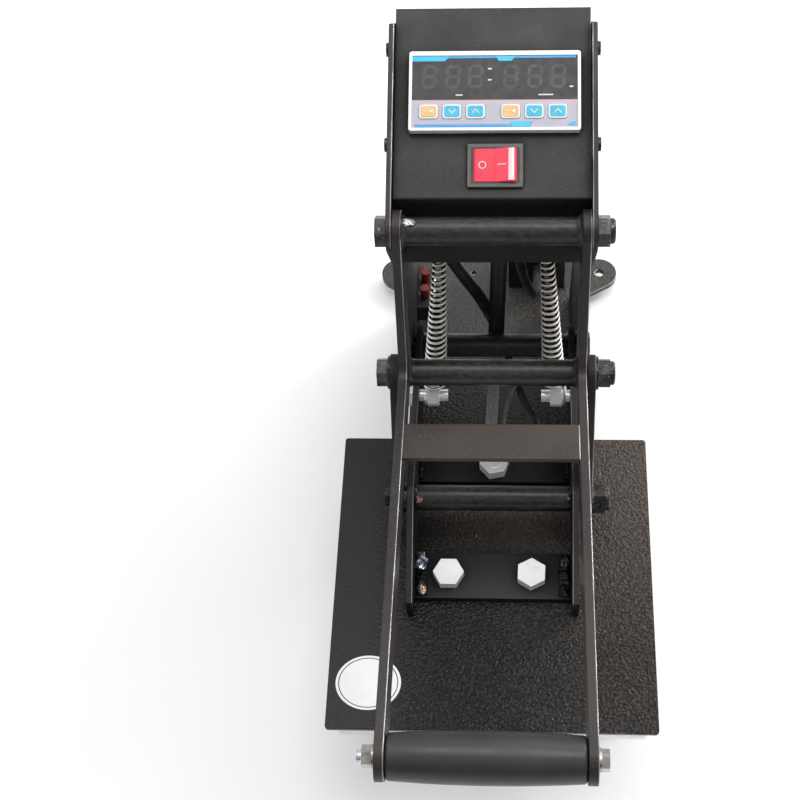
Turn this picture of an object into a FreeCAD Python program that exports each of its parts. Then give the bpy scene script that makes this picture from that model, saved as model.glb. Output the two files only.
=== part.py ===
import FreeCAD, Part
import math
import os
from FreeCAD import Vector

os.makedirs("parts", exist_ok=True)

# Label heat press, closed and locked. Millimetres. X across, -Y towards the operator, +Z up.
# The origin lies on the underside of the base plate, at the middle of its four bench holes.

# Driving sizes: base and feet
foot_radius = 11.0
foot_height = 10.0
foot_spacing_x = 104.0
foot_spacing_y = 320.0
foot_screw_radius = 2.5
foot_screw_head_radius = 4.75
foot_screw_head_height = 3.0
foot_recess_depth = 5.0
foot_recess_clearance = 1.0
base_thickness = 5.0
base_width = 132.0
bench_bolt_spacing_x = 160.0
bench_bolt_spacing_y = 350.0
bench_hole_radius = 3.5
ear_radius = 13.5
ear_taper = 16.0
spare_hole_radius = 2.0
spare_hole_spacing = 40.0

# Driving sizes: platens, from the bench upwards
platen_size = 200.0
platen_rear_y = -31.0
pedestal_width = 50.0
pedestal_wall = 3.0
pedestal_height = 50.0
flange_width = 90.0
flange_thickness = 5.0
lower_plate_thickness = 6.0
pad_inset = 10.0
pad_thickness = 8.0
pad_gap = 0.3
heater_inset = 5.0
heater_thickness = 18.0
heater_corner_radius = 3.0
insulation_thickness = 5.0
cover_thickness = 3.0
cover_corner_radius = 2.0
element_radius = 4.0
element_spacing = 32.0
element_inset = 20.0
element_depth = 8.0
element_turn_inset = 34.0
element_clearance = 0.2
lower_screw_radius = 3.0
lower_screw_head_radius = 6.0
lower_screw_head_height = 3.5
lower_screw_inset = 9.0
lower_screw_reach = 4.0

# Driving sizes: pivots, each as forward of the platen's rear edge and above its cover
arm_pivot_forward = -65.0
arm_pivot_above = 15.0
handle_pivot_forward = -21.6
handle_pivot_above = 198.1
knee_forward = 14.5
knee_above = 107.0
link_pivot_forward = 60.5
link_pivot_above = 32.0
grip_forward = 257.6
grip_above = 135.5
spring_rod_forward = -48.0
spring_rod_above = 165.0
spring_bolt_forward = -16.0
spring_bolt_above = 30.0

# Driving sizes: the plates that stand side by side, from the handle outwards and inwards
handle_width = 110.5
handle_thickness = 5.0
frame_gap = 0.5
frame_thickness = 3.0
link_gap = 0.95
link_thickness = 5.0
arm_inset = 2.0
arm_thickness = 4.0
tube_radius = 8.0
pivot_radius = 5.0
running_clearance = 0.06
bolt_hole_clearance = 0.04
axial_clearance = 0.3
handle_end_radius = 12.5
handle_knee_radius = 12.0
knee_fillet = 9.0
arm_pivot_eye = 14.0
arm_link_eye = 14.0
arm_spring_eye = 8.0
arm_front_height = 17.5
arm_lift = 0.5
arm_reach = 126.0
link_eye = 11.0
frame_nose_radius = 12.0
column_front_top = 18.0
column_front_foot = 6.0
column_rear_foot = 150.0
frame_rear_inset = 6.0

# Driving sizes: straps and their fasteners
strap_thickness = 5.0
front_strap_inset = 24.5
front_strap_length = 30.8
rear_strap_start = 9.0
rear_strap_length = 26.0
platen_bolt_spacing = 52.0
stud_forward = 23.6
stud_radius = 5.0
stud_reach = 0.3
stud_nut_turn = -108.0
front_bolt_offset = -1.8
right_bolt_turn = 28.0
bridge_forward = 74.2
bridge_length = 24.2
bridge_thickness = 3.0

# Driving sizes: bolts, nuts and washers
hex_flats = 17.0
pivot_flats = 16.0
bolt_head_height = 6.4
nut_height = 8.0
lock_nut_height = 10.0
lock_nut_hexagon = 7.0
lock_nut_collar_radius = 7.2
lock_nut_rounding = 1.6
thin_nut_height = 5.0
handle_bolt_turn = 50.0
knee_bolt_turn = 38.0
link_bolt_turn = 15.0
rod_reach = 2.5
small_hex_flats = 10.0
small_bolt_radius = 3.0
small_bolt_head_height = 4.0
small_nut_height = 5.0
small_washer_radius = 6.0
small_washer_thickness = 1.6
washer_radius = 10.0
washer_thickness = 1.6
spacer_radius = 9.0

# Driving sizes: grip
grip_radius = 13.4
grip_end_radius = 11.7
grip_rounding = 2.0
grip_gap = 0.25

# Driving sizes: springs
spring_wire_radius = 1.0
spring_radius_top = 3.2
spring_radius_bottom = 6.8
spring_coils = 26
spring_offset_top = 31.5
spring_offset_bottom = 38.6
spring_rod_radius = 4.0
hook_clearance = 0.3
hook_reach_top = 12.0
hook_reach_bottom = 11.0
spring_nut_gap = 0.6
spring_nut_flats = 13.0
spring_nut_height = 5.0
spring_bolt_radius = 4.0
spring_bolt_nut_height = 7.5
spring_bolt_head_height = 5.3
spring_bolt_turn = 20.0
spring_bolt_tip = 30.5

# Driving sizes: control box
box_gap = 0.5
sheet = 1.5
front_wall_forward = -34.0
front_wall_foot_above = 152.0
front_wall_height = 59.0
panel_slope = 22.0
panel_length = 113.3
panel_lip = 14.0
panel_cheek_end = 12.3
rear_cover_drop = 160.0
rear_cover_flange = 12.0
rear_cover_gap = 1.0
panel_screw_shares = (0.3, 0.8)
rear_screw_shares = (0.15, 0.45)
floor_depth = 74.0
box_screw_radius = 2.0
box_screw_head_radius = 4.0
box_screw_head_height = 2.2

# Driving sizes: controller and its keys
controller_along = 61.2
controller_offset = 1.2
bezel_width = 96.0
bezel_height = 46.4
bezel_proud = 5.0
bezel_rim = 1.7
bezel_top_rim = 2.6
bezel_recess = 1.0
bezel_rounding = 1.5
case_width = 91.0
case_height = 44.0
case_depth = 55.0
cutout_clearance = 0.4
window_foot = -5.1
face_clearance = 0.2
key_width = 10.6
key_height = 8.4
key_corner_radius = 1.8
key_row = -12.1
key_pitch = 13.1
key_group_centres = (-23.7, 22.1)
key_proud = 0.5
key_depth = 1.6
key_travel = 0.5
key_clearance = 0.2

# Driving sizes: rocker switch
switch_along = 18.8
switch_offset = 1.8
switch_width = 31.0
switch_height = 25.0
switch_rim = 2.0
switch_rounding = 0.6
switch_body_width = 28.0
switch_body_height = 21.6
switch_body_depth = 20.0
blade_width = 6.0
blade_length = 8.0
blade_thickness = 0.8
rocker_radius = 13.0
rocker_height = 19.0
rocker_clearance = 0.2
rocker_axis_depth = 3.0
rocker_valley = 2.4
rocker_face_angle = 7.0
rocker_belly = 4.0
rocker_edge_radius = 1.5

# Driving sizes: parts behind and under the box
relay_width = 58.0
relay_height = 44.0
relay_depth = 24.0
relay_drop = 13.0
grommet_radius = 7.0
grommet_lip = 2.0
grommet_lip_height = 2.5
grommet_clearance = 0.1
vent_count = 6
vent_pitch = 8.0
vent_height = 3.0
relay_shift = 8.0
relay_slot = (8.0, 9.0, 6.0)
relay_slot_inset = 2.0
terminal_block_size = (10.6, 34.0, 16.0)
terminal_block_forward = -121.5
terminal_block_above = -5.0
crimp_radius = 3.0
crimp_length = 10.0
crimp_spacing = 14.0
inlet_box_width = 44.0
inlet_box_depth = 28.0
inlet_box_height = 44.0
inlet_box_offset = 30.0
inlet_width = 27.0
inlet_height = 20.0
inlet_depth = 14.0
inlet_wall = 2.0
inlet_rim_width = 3.0
inlet_pin_radius = 2.0
inlet_pin_spacing = 7.0
inlet_pin_drop = 3.0
inlet_pin_rise = 2.5

# Driving sizes: leads
heater_lead_radius = 4.0
power_lead_radius = 3.25
earth_lead_radius = 2.5
sensor_lead_radius = 1.5
lead_rise = 7.7
lead_drop = 24.3
lead_end_gap = 0.3
lead_entry_height = 11.0
sensor_entry_height = 13.3
power_entry_rise = 5.5

# Heights and pivots that follow from the driving sizes
base_top = base_thickness
bench = -foot_height
pedestal_top = base_top + pedestal_height
flange_top = pedestal_top + flange_thickness
lower_plate_top = flange_top + lower_plate_thickness
pad_top = lower_plate_top + pad_thickness
heater_bottom = pad_top + pad_gap
heater_top = heater_bottom + heater_thickness
insulation_top = heater_top + insulation_thickness
cover_top = insulation_top + cover_thickness
platen_y = platen_rear_y - platen_size / 2
heater_width = platen_size - 2 * heater_inset
pad_width = platen_size - 2 * pad_inset
front_strap_forward = arm_reach - front_strap_inset
base_half_length = bench_bolt_spacing_y / 2 + ear_radius


def seen_from_platen(forward, above):
    """(y, z) of a point given as forward of the platen's rear edge and above its cover."""
    return (platen_rear_y - forward, cover_top + above)


arm_pivot = seen_from_platen(arm_pivot_forward, arm_pivot_above)
handle_pivot = seen_from_platen(handle_pivot_forward, handle_pivot_above)
knee = seen_from_platen(knee_forward, knee_above)
link_pivot = seen_from_platen(link_pivot_forward, link_pivot_above)
grip_centre = seen_from_platen(grip_forward, grip_above)
spring_rod_at = seen_from_platen(spring_rod_forward, spring_rod_above)
spring_bolt_at = seen_from_platen(spring_bolt_forward, spring_bolt_above)
wall_foot = seen_from_platen(front_wall_forward, front_wall_foot_above)
panel_foot = (wall_foot[0], wall_foot[1] + front_wall_height)

# Each route is the line of a lead from above the floor of the box down to what it feeds
lead_top = wall_foot[1] + lead_rise
lead_turn = wall_foot[1] - lead_drop
lead_end = platen_rear_y - heater_inset + lead_end_gap
lead_entry = heater_bottom + lead_entry_height
sensor_entry = heater_bottom + sensor_entry_height
inlet_front = base_half_length - inlet_box_depth
power_entry = base_top + inlet_box_height / 2 + power_entry_rise
heater_lead_route = [
    (3.0, 42.0, lead_top),
    (3.0, 42.0, lead_turn),
    (2.6, 50.0, 186.0),
    (1.6, 55.0, 152.0),
    (0.6, 52.0, 119.0),
    (-0.6, 34.0, 94.0),
    (-2.0, 6.0, 86.0),
    (-3.0, -16.0, lead_entry),
    (-3.0, lead_end, lead_entry),
]
power_lead_route = [
    (13.0, 56.0, lead_top),
    (13.0, 56.0, lead_turn),
    (14.0, 67.0, 192.0),
    (15.5, 82.0, 155.0),
    (18.0, 97.0, 113.0),
    (22.0, 111.0, 77.0),
    (27.0, 124.0, 47.0),
    (inlet_box_offset, 142.0, power_entry),
    (inlet_box_offset, inlet_front, power_entry),
]
earth_lead_route = [
    (-35.0, 46.0, lead_top),
    (-35.0, 46.0, lead_turn),
    (-31.0, 55.0, 192.0),
    (-22.0, 61.0, 160.0),
    (-10.0, 63.0, 130.0),
    (2.0, 55.0, 104.0),
    (10.5, 34.0, 91.0),
    (19.0, 6.0, 87.0),
    (31.0, -14.0, lead_entry),
    (31.0, lead_end, lead_entry),
]
sensor_lead_route = [
    (24.0, 46.0, lead_top),
    (24.0, 46.0, lead_turn),
    (29.0, 55.0, 194.0),
    (34.0, 59.0, 162.0),
    (36.0, 58.0, 132.0),
    (33.0, 47.0, 106.0),
    (24.0, 27.0, 94.5),
    (10.0, 12.0, 94.0),
    (5.0, -12.0, sensor_entry),
    (5.0, lead_end, sensor_entry),
]

# Holes that fit the bolts, and the bores that turn on them
pivot_hole = pivot_radius + bolt_hole_clearance
pivot_bore = pivot_radius + running_clearance
small_hole = small_bolt_radius + bolt_hole_clearance
stud_hole = stud_radius + bolt_hole_clearance
box_screw_hole = box_screw_radius + bolt_hole_clearance
spring_rod_hole = spring_rod_radius + bolt_hole_clearance
spring_bolt_hole = spring_bolt_radius + bolt_hole_clearance
lower_screw_hole = lower_screw_radius + bolt_hole_clearance
foot_screw_hole = foot_screw_radius + bolt_hole_clearance

# Half widths of the plates, measured from the middle of the press
handle_out = handle_width / 2
handle_in = handle_out - handle_thickness
frame_in = handle_out + frame_gap
frame_out = frame_in + frame_thickness
link_in = handle_out + link_gap
link_out = link_in + link_thickness
arm_out = handle_out - arm_inset
arm_in = arm_out - arm_thickness
box_half = frame_in - box_gap


def minus(p, q):
    return (p[0] - q[0], p[1] - q[1])


def dot(p, q):
    return p[0] * q[0] + p[1] * q[1]


# Directions along the sloped panel and out of it, in the (y, z) plane
slope = math.radians(panel_slope)
along = (math.cos(slope), math.sin(slope))
outward = (-math.sin(slope), math.cos(slope))
panel_top = (panel_foot[0] + panel_length * along[0], panel_foot[1] + panel_length * along[1])
controller_place = (controller_offset, controller_along)
switch_place = (switch_offset, switch_along)
rear_cover_y = panel_top[0]
rear_cover_foot = panel_top[1] - rear_cover_drop


def save(name, *shapes):
    """Writes one node, as one solid or as a group of separate solids."""
    shape = shapes[0] if len(shapes) == 1 else Part.Compound(list(shapes))
    shape.exportStep("parts/" + name + ".step")


def block(x0, x1, y0, y1, z0, z1):
    return Part.makeBox(x1 - x0, y1 - y0, z1 - z0, Vector(x0, y0, z0))


def rod_x(x0, x1, at, radius):
    """A round bar along X, centred at (y, z)."""
    return Part.makeCylinder(radius, x1 - x0, Vector(x0, at[0], at[1]), Vector(1, 0, 0))


def rod_z(x, y, z0, z1, radius):
    return Part.makeCylinder(radius, z1 - z0, Vector(x, y, z0), Vector(0, 0, 1))


def hexagon(centre, axis, first_corner, flats, height):
    """A hexagonal head or nut that stands on centre along axis, with one corner towards first_corner."""
    corner = flats / math.sqrt(3)
    side = axis.cross(first_corner)
    points = []
    for i in range(7):
        turn = math.radians(60 * i)
        points.append(centre + first_corner * (corner * math.cos(turn)) + side * (corner * math.sin(turn)))
    prism = Part.Face(Part.makePolygon(points)).extrude(axis * height)
    chamfer = Part.makeCone(corner + height / 2, corner - height / 8, height * 5 / 4, centre, axis)
    return prism.common(chamfer)


def hexagon_x(x, direction, at, flats, height, turn=0):
    """A hexagon along X: direction is 1 or -1, at is (y, z), its upright corner turned forward."""
    lean = math.radians(turn)
    corner = Vector(0, -math.sin(lean), math.cos(lean))
    return hexagon(Vector(x, at[0], at[1]), Vector(direction, 0, 0), corner, flats, height)


def mirrored(shape):
    """The same piece on the other side of the press."""
    return shape.mirror(Vector(0, 0, 0), Vector(1, 0, 0))


def both_sides(shape):
    return [shape, mirrored(shape)]


def on_side(a, b):
    """A point of an outline that is drawn in the (y, z) plane."""
    return Vector(0, a, b)


def on_floor(a, b):
    """A point of an outline that is drawn in the (x, y) plane."""
    return Vector(a, b, 0)


def belt(circles, place):
    """The face inside a belt pulled tight round circles ((a, b), radius), listed anticlockwise."""
    normals = []
    count = len(circles)
    for i in range(count):
        (a0, b0), r0 = circles[i]
        (a1, b1), r1 = circles[(i + 1) % count]
        heading = math.atan2(b1 - b0, a1 - a0)
        lean = math.asin((r0 - r1) / math.hypot(a1 - a0, b1 - b0))
        normals.append(heading - math.pi / 2 + lean)
    edges = []
    for i in range(count):
        (a, b), radius = circles[i]
        arrive = normals[i - 1]
        leave = arrive + (normals[i] - arrive) % (2 * math.pi)
        points = []
        for turn in (arrive, (arrive + leave) / 2, leave):
            points.append(place(a + radius * math.cos(turn), b + radius * math.sin(turn)))
        if radius > 0:
            edges.append(Part.Arc(*points).toShape())
        (a1, b1), r1 = circles[(i + 1) % count]
        after = place(a1 + r1 * math.cos(leave), b1 + r1 * math.sin(leave))
        edges.append(Part.LineSegment(points[2], after).toShape())
    return Part.Face(Part.Wire(edges))


def side_plate(circles, x0, x1):
    """A plate that stands across X, cut to the belt round the circles."""
    plate = belt(circles, on_side).extrude(Vector(x1 - x0, 0, 0))
    plate.translate(Vector(x0, 0, 0))
    return plate


def offset_line(points, thickness):
    """The same open line moved to its left by thickness, with mitred corners."""
    moved = []
    count = len(points)
    for i in range(count):
        before = points[max(i - 1, 0)]
        here = points[i]
        after = points[min(i + 1, count - 1)]
        headings = []
        if i > 0:
            headings.append(math.atan2(here[1] - before[1], here[0] - before[0]))
        if i < count - 1:
            headings.append(math.atan2(after[1] - here[1], after[0] - here[0]))
        half_turn = (headings[-1] - headings[0]) / 2
        normal = headings[0] + half_turn + math.pi / 2
        reach = thickness / math.cos(half_turn)
        moved.append((here[0] + reach * math.cos(normal), here[1] + reach * math.sin(normal)))
    return moved


def bent_sheet(points, thickness, x0, x1):
    """Sheet metal bent along a line of (y, z) points, with its thickness to the left of the line."""
    outline = list(points) + offset_line(points, thickness)[::-1]
    corners = [on_side(y, z) for y, z in outline + outline[:1]]
    strip = Part.Face(Part.makePolygon(corners)).extrude(Vector(x1 - x0, 0, 0))
    strip.translate(Vector(x0, 0, 0))
    return strip


def on_panel(shape, place):
    """Turns a piece drawn flat (x across, y up the panel, z out of it) onto the sloped panel."""
    shape = shape.copy()
    shape.translate(Vector(*place, 0))
    shape.rotate(Vector(0, 0, 0), Vector(1, 0, 0), panel_slope)
    shape.translate(Vector(0, panel_foot[0], panel_foot[1]))
    return shape


def rounded_block(x0, x1, y0, y1, z0, z1, radius):
    """A block with its four upright edges rounded."""
    shape = block(x0, x1, y0, y1, z0, z1)
    upright = [e for e in shape.Edges if abs(e.tangentAt(e.FirstParameter).z) > 0.9]
    return shape.makeFillet(radius, upright)


def bolt_x(x_head, x_end, at, direction, flats, radius, head, turn=0):
    """A hexagon bolt along X from under its head to its end."""
    shank = rod_x(min(x_head, x_end), max(x_head, x_end), at, radius)
    return shank.fuse(hexagon_x(x_head, -direction, at, flats, head, turn)).removeSplitter()


def nut_x(x, direction, at, flats, height, bore, turn=0):
    nut = hexagon_x(x, direction, at, flats, height, turn)
    return nut.cut(rod_x(x - height, x + height, at, bore))


def lock_nut_x(x, at, turn):
    """A locking nut from x outwards: its hexagon, and a collar that is rounded over at its end."""
    end = x + lock_nut_height
    collar = rod_x(x, end, at, lock_nut_collar_radius)
    rim = [e for e in collar.Edges if abs(e.CenterOfMass.x - end) < 0.01]
    collar = collar.makeFillet(lock_nut_rounding, rim)
    nut = collar.fuse(hexagon_x(x, 1, at, pivot_flats, lock_nut_hexagon, turn))
    return nut.cut(rod_x(x, end, at, pivot_hole)).removeSplitter()


def ring_x(x0, x1, at, outer, inner):
    return rod_x(x0, x1, at, outer).cut(rod_x(x0 - 1, x1 + 1, at, inner))


def base_plate():
    """The floor plate with its four bolt ears."""
    half_x = bench_bolt_spacing_x / 2
    half_y = bench_bolt_spacing_y / 2
    plate = block(-base_width / 2, base_width / 2, -base_half_length, base_half_length, 0, base_top)
    holes = []
    for sx in (-1, 1):
        for sy in (-1, 1):
            inner = base_width / 2 - ear_radius
            ear = [
                ((half_x * sx, half_y * sy), ear_radius),
                ((inner * sx, (base_half_length - ear_radius) * sy), ear_radius),
                ((inner * sx, (half_y - ear_taper) * sy), ear_radius),
            ]
            if sx * sy < 0:
                ear = ear[::-1]
            lug = belt(ear, on_floor).extrude(Vector(0, 0, base_thickness))
            plate = plate.fuse(lug)
            holes.append(rod_z(half_x * sx, half_y * sy, 0, base_top, bench_hole_radius))
            at = (foot_spacing_x / 2 * sx, foot_spacing_y / 2 * sy)
            holes.append(rod_z(*at, 0, base_top, foot_screw_hole))
        holes.append(rod_z(spare_hole_spacing / 2 * sx, half_y, 0, base_top, spare_hole_radius))
    return plate.cut(holes).removeSplitter()


def foot_places():
    return [(foot_spacing_x / 2 * sx, foot_spacing_y / 2 * sy) for sx in (-1, 1) for sy in (-1, 1)]


def rubber_feet():
    feet = []
    for x, y in foot_places():
        foot = rod_z(x, y, bench, 0, foot_radius)
        recess_radius = foot_screw_head_radius + foot_recess_clearance
        foot = foot.cut(rod_z(x, y, bench, bench + foot_recess_depth, recess_radius))
        feet.append(foot.cut(rod_z(x, y, bench, 0, foot_screw_hole)))
    return feet


def foot_screws():
    screws = []
    for x, y in foot_places():
        seat = bench + foot_recess_depth
        shank = rod_z(x, y, seat, base_top, foot_screw_radius)
        head = rod_z(x, y, seat - foot_screw_head_height, seat, foot_screw_head_radius)
        screws.append(shank.fuse(head).removeSplitter())
    return screws


def frame_plate(side):
    """One side cheek: a column on the base, the box cheek above it and the nose round the top pivot."""
    cheek_end = panel_length - panel_cheek_end
    proud = frame_nose_radius + dot(minus(handle_pivot, panel_foot), outward)
    cheek_top = (
        panel_foot[0] + cheek_end * along[0] + proud * outward[0],
        panel_foot[1] + cheek_end * along[1] + proud * outward[1],
    )
    rear = rear_cover_y + frame_rear_inset
    cheek = side_plate(
        [
            (handle_pivot, frame_nose_radius),
            ((wall_foot[0], wall_foot[1] - frame_rear_inset), 0),
            ((rear, wall_foot[1] - frame_rear_inset), 0),
            ((rear_cover_y, cheek_top[1] - panel_cheek_end), 0),
            (cheek_top, 0),
        ],
        frame_in,
        frame_out,
    )
    column = side_plate(
        [
            ((column_front_foot, base_top), 0),
            ((column_rear_foot, base_top), 0),
            ((rear, wall_foot[1]), 0),
            ((column_front_top, wall_foot[1]), 0),
        ],
        frame_in,
        frame_out,
    )
    plate = cheek.fuse(column)
    hole = pivot_hole
    for at in (arm_pivot, handle_pivot):
        plate = plate.cut(rod_x(frame_in - 1, frame_out + 1, at, hole))
    plate = plate.cut(rod_x(frame_in - 1, frame_out + 1, spring_rod_at, spring_rod_hole))
    for at in box_screw_places():
        plate = plate.cut(rod_x(frame_in - 1, frame_out + 1, at, box_screw_hole))
    plate = plate.removeSplitter()
    return plate if side > 0 else mirrored(plate)


def frame_pivot_bolts():
    """The bolts of the frame's two pivots, with their nuts and the spacers beside the arms."""
    sizes = (pivot_flats, pivot_radius, bolt_head_height)
    end = frame_out + lock_nut_height
    top_bolt = bolt_x(-frame_out, end, handle_pivot, 1, *sizes, handle_bolt_turn)
    top_nut = lock_nut_x(frame_out, handle_pivot, handle_bolt_turn)
    end = frame_out + thin_nut_height
    low_bolt = bolt_x(-frame_out, end, arm_pivot, 1, *sizes)
    low_nut = nut_x(frame_out, 1, arm_pivot, pivot_flats, thin_nut_height, pivot_hole)
    spacer = ring_x(arm_out + axial_clearance, frame_in, arm_pivot, washer_radius, pivot_hole)
    return [top_bolt, top_nut, low_bolt, low_nut] + both_sides(spacer)


def spring_rod():
    """The round bar under the panel that the springs hang from, with a nut at each end."""
    end = frame_out + spring_nut_height + spring_wire_radius
    bar = rod_x(-end, end, spring_rod_at, spring_rod_radius)
    hole = spring_rod_hole
    nut = nut_x(frame_out, 1, spring_rod_at, spring_nut_flats, spring_nut_height, hole)
    return [bar] + both_sides(nut)


def box_screw_places():
    """Side screws of the panel and of the rear cover, as (y, z)."""
    inward = sheet + rear_cover_flange / 2
    places = []
    for share in panel_screw_shares:
        at = share * panel_length
        places.append(
            (
                panel_foot[0] + at * along[0] - inward * outward[0],
                panel_foot[1] + at * along[1] - inward * outward[1],
            )
        )
    for share in rear_screw_shares:
        places.append((rear_cover_y - inward, rear_cover_foot + share * rear_cover_drop))
    return places


def box_screws():
    screws = []
    for at in box_screw_places():
        shank = rod_x(box_half - sheet, frame_out, at, box_screw_radius)
        head = rod_x(frame_out, frame_out + box_screw_head_height, at, box_screw_head_radius)
        screws += both_sides(shank.fuse(head).removeSplitter())
    return screws


def panel_window(width, height, place):
    """A block that cuts the panel for a piece of this size."""
    depth = 4 * sheet
    hole = block(-width / 2, width / 2, -height / 2, height / 2, -depth, depth)
    return on_panel(hole, place)


def box_shell():
    """The bent sheet of the control box: front wall, sloped panel and rear lip, with side flanges."""
    lip = (panel_top[0], panel_top[1] - panel_lip)
    line = [lip, panel_top, panel_foot, wall_foot]
    shell = bent_sheet(line, sheet, -box_half, box_half)
    flange_line = [
        panel_top,
        panel_foot,
        (panel_foot[0] - rear_cover_flange * outward[0], panel_foot[1] - rear_cover_flange * outward[1]),
        (panel_top[0], panel_top[1] - panel_lip),
    ]
    corners = [on_side(y, z) for y, z in flange_line + flange_line[:1]]
    flange = Part.Face(Part.makePolygon(corners)).extrude(Vector(sheet, 0, 0))
    flange.translate(Vector(box_half - sheet, 0, 0))
    shell = shell.fuse(both_sides(flange))
    for at in box_screw_places()[:2]:
        shell = shell.cut(rod_x(-frame_in, frame_in, at, box_screw_hole))
    hole = (case_width + cutout_clearance, case_height + cutout_clearance)
    shell = shell.cut(panel_window(*hole, controller_place))
    hole = (switch_body_width + cutout_clearance, switch_body_height + cutout_clearance)
    shell = shell.cut(panel_window(*hole, switch_place)).removeSplitter()
    bends = [e for e in shell.Edges if is_outer_bend(e, panel_foot) or is_outer_bend(e, panel_top)]
    return shell.makeFillet(sheet, bends)


def is_outer_bend(edge, at):
    """True for the long edge along X through (y, z)."""
    middle = edge.CenterOfMass
    return edge.Length > box_half and math.hypot(middle.y - at[0], middle.z - at[1]) < sheet / 4


def rear_cover():
    """The rear sheet with side flanges, and the floor that the leads leave through."""
    top = panel_top[1] - sheet - rear_cover_gap
    inside = rear_cover_y - sheet
    sheet_back = block(-box_half, box_half, inside, rear_cover_y, rear_cover_foot, top - panel_lip)
    half = box_half - sheet
    side = block(half, box_half, inside - rear_cover_flange, inside, rear_cover_foot, wall_foot[1] + sheet)
    floor = block(-half, half, inside - floor_depth, inside, wall_foot[1], wall_foot[1] + sheet)
    cover = sheet_back.fuse(both_sides(side) + [floor])
    for at in box_screw_places()[2:]:
        cover = cover.cut(rod_x(-frame_in, frame_in, at, box_screw_hole))
    for x, y in grommet_places():
        cover = cover.cut(rod_z(x, y, wall_foot[1], wall_foot[1] + sheet, grommet_radius - grommet_lip))
    for i in range(vent_count):
        z = rear_cover_foot + rear_cover_drop / 2 + vent_pitch * i
        cover = cover.cut(block(-box_half / 2, box_half / 2, inside, rear_cover_y, z, z + vent_height))
    return cover.removeSplitter()


def lead_routes():
    return [
        (heater_lead_route, heater_lead_radius),
        (power_lead_route, power_lead_radius),
        (earth_lead_route, earth_lead_radius),
        (sensor_lead_route, sensor_lead_radius),
    ]


def grommet_places():
    return [route[0][:2] for route, radius in lead_routes()]


def cable_grommets():
    """Rubber rings in the box floor, one for each lead."""
    rings = []
    for route, radius in lead_routes():
        x, y = route[0][:2]
        floor = wall_foot[1]
        low = floor - grommet_lip_height
        high = floor + sheet + grommet_lip_height
        body = rod_z(x, y, low, floor, grommet_radius)
        neck = grommet_radius - grommet_lip - grommet_clearance
        body = body.fuse(rod_z(x, y, floor, floor + sheet, neck))
        body = body.fuse(rod_z(x, y, floor + sheet, high, grommet_radius))
        body = body.cut(rod_z(x, y, low, high, radius))
        rings.append(body.removeSplitter())
    return rings


def controller_bezel():
    """The front frame of the controller, with its recessed face and six key pockets."""
    half_w = bezel_width / 2
    half_h = bezel_height / 2
    frame = rounded_block(-half_w, half_w, -half_h, half_h, 0, bezel_proud, bezel_rounding)
    face = bezel_proud - bezel_recess
    half_w -= bezel_rim
    frame = frame.cut(block(-half_w, half_w, bezel_rim - half_h, half_h - bezel_top_rim, face, bezel_proud))
    for x in key_places():
        frame = frame.cut(key_block(x, face - key_pocket_depth(), face, key_clearance))
    return on_panel(frame, controller_place)


def key_pocket_depth():
    """How deep a key's pocket goes below the recessed face."""
    return key_depth + key_travel


def key_places():
    """The six keys, in two groups of three, as places across the face."""
    places = []
    for group in key_group_centres:
        places += [group - key_pitch, group, group + key_pitch]
    return places


def key_block(x, z0, z1, grow):
    """A key's outline between two heights, larger by grow all round."""
    half_w = key_width / 2 + grow
    half_h = key_height / 2 + grow
    sides = (x - half_w, x + half_w, key_row - half_h, key_row + half_h)
    return rounded_block(*sides, z0, z1, key_corner_radius + grow)


def controller_case():
    half_w = case_width / 2
    half_h = case_height / 2
    return on_panel(block(-half_w, half_w, -half_h, half_h, -case_depth, 0), controller_place)


def face_strip(y0, y1, thickness):
    """A thin plate across the controller's recessed face."""
    half_w = bezel_width / 2 - bezel_rim - face_clearance
    face = bezel_proud - bezel_recess
    return block(-half_w, half_w, y0, y1, face, face + thickness)


def display_window():
    top = bezel_height / 2 - bezel_top_rim - face_clearance
    return on_panel(face_strip(window_foot, top, bezel_recess - face_clearance), controller_place)


def key_sheet():
    """The printed sheet round the keys."""
    foot = -bezel_height / 2 + bezel_rim + face_clearance
    strip = face_strip(foot, window_foot, bezel_recess / 2)
    for x in key_places():
        strip = strip.cut(key_block(x, 0, 2 * bezel_proud, key_clearance))
    return on_panel(strip, controller_place)


def key(x):
    face = bezel_proud - bezel_recess
    top = face + bezel_recess / 2 + key_proud
    cap = key_block(x, face - key_depth, top, 0)
    upper = [e for e in cap.Edges if e.CenterOfMass.z > top - 0.01]
    return on_panel(cap.makeFillet(key_proud / 2, upper), controller_place)


def rocker_cylinder(radius, height):
    """A cylinder about the rocker's axis, which runs up the panel."""
    start = Vector(0, -height / 2, -rocker_axis_depth)
    return Part.makeCylinder(radius, height, start, Vector(0, 1, 0))


def switch_housing():
    half_w = switch_width / 2
    half_h = switch_height / 2
    rim = rounded_block(-half_w, half_w, -half_h, half_h, 0, switch_rim, switch_rounding)
    half_w = switch_body_width / 2
    half_h = switch_body_height / 2
    body = rim.fuse(block(-half_w, half_w, -half_h, half_h, -switch_body_depth, 0))
    reach = rocker_radius + rocker_clearance
    body = body.cut(rocker_cylinder(reach, rocker_height + 2 * rocker_clearance))
    low = -switch_body_depth - blade_length
    half_b = blade_width / 2
    for x in (-half_w / 2, 0, half_w / 2):
        x0 = x - blade_thickness / 2
        body = body.fuse(block(x0, x0 + blade_thickness, -half_b, half_b, low, -switch_body_depth))
    return on_panel(body.removeSplitter(), switch_place)


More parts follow.
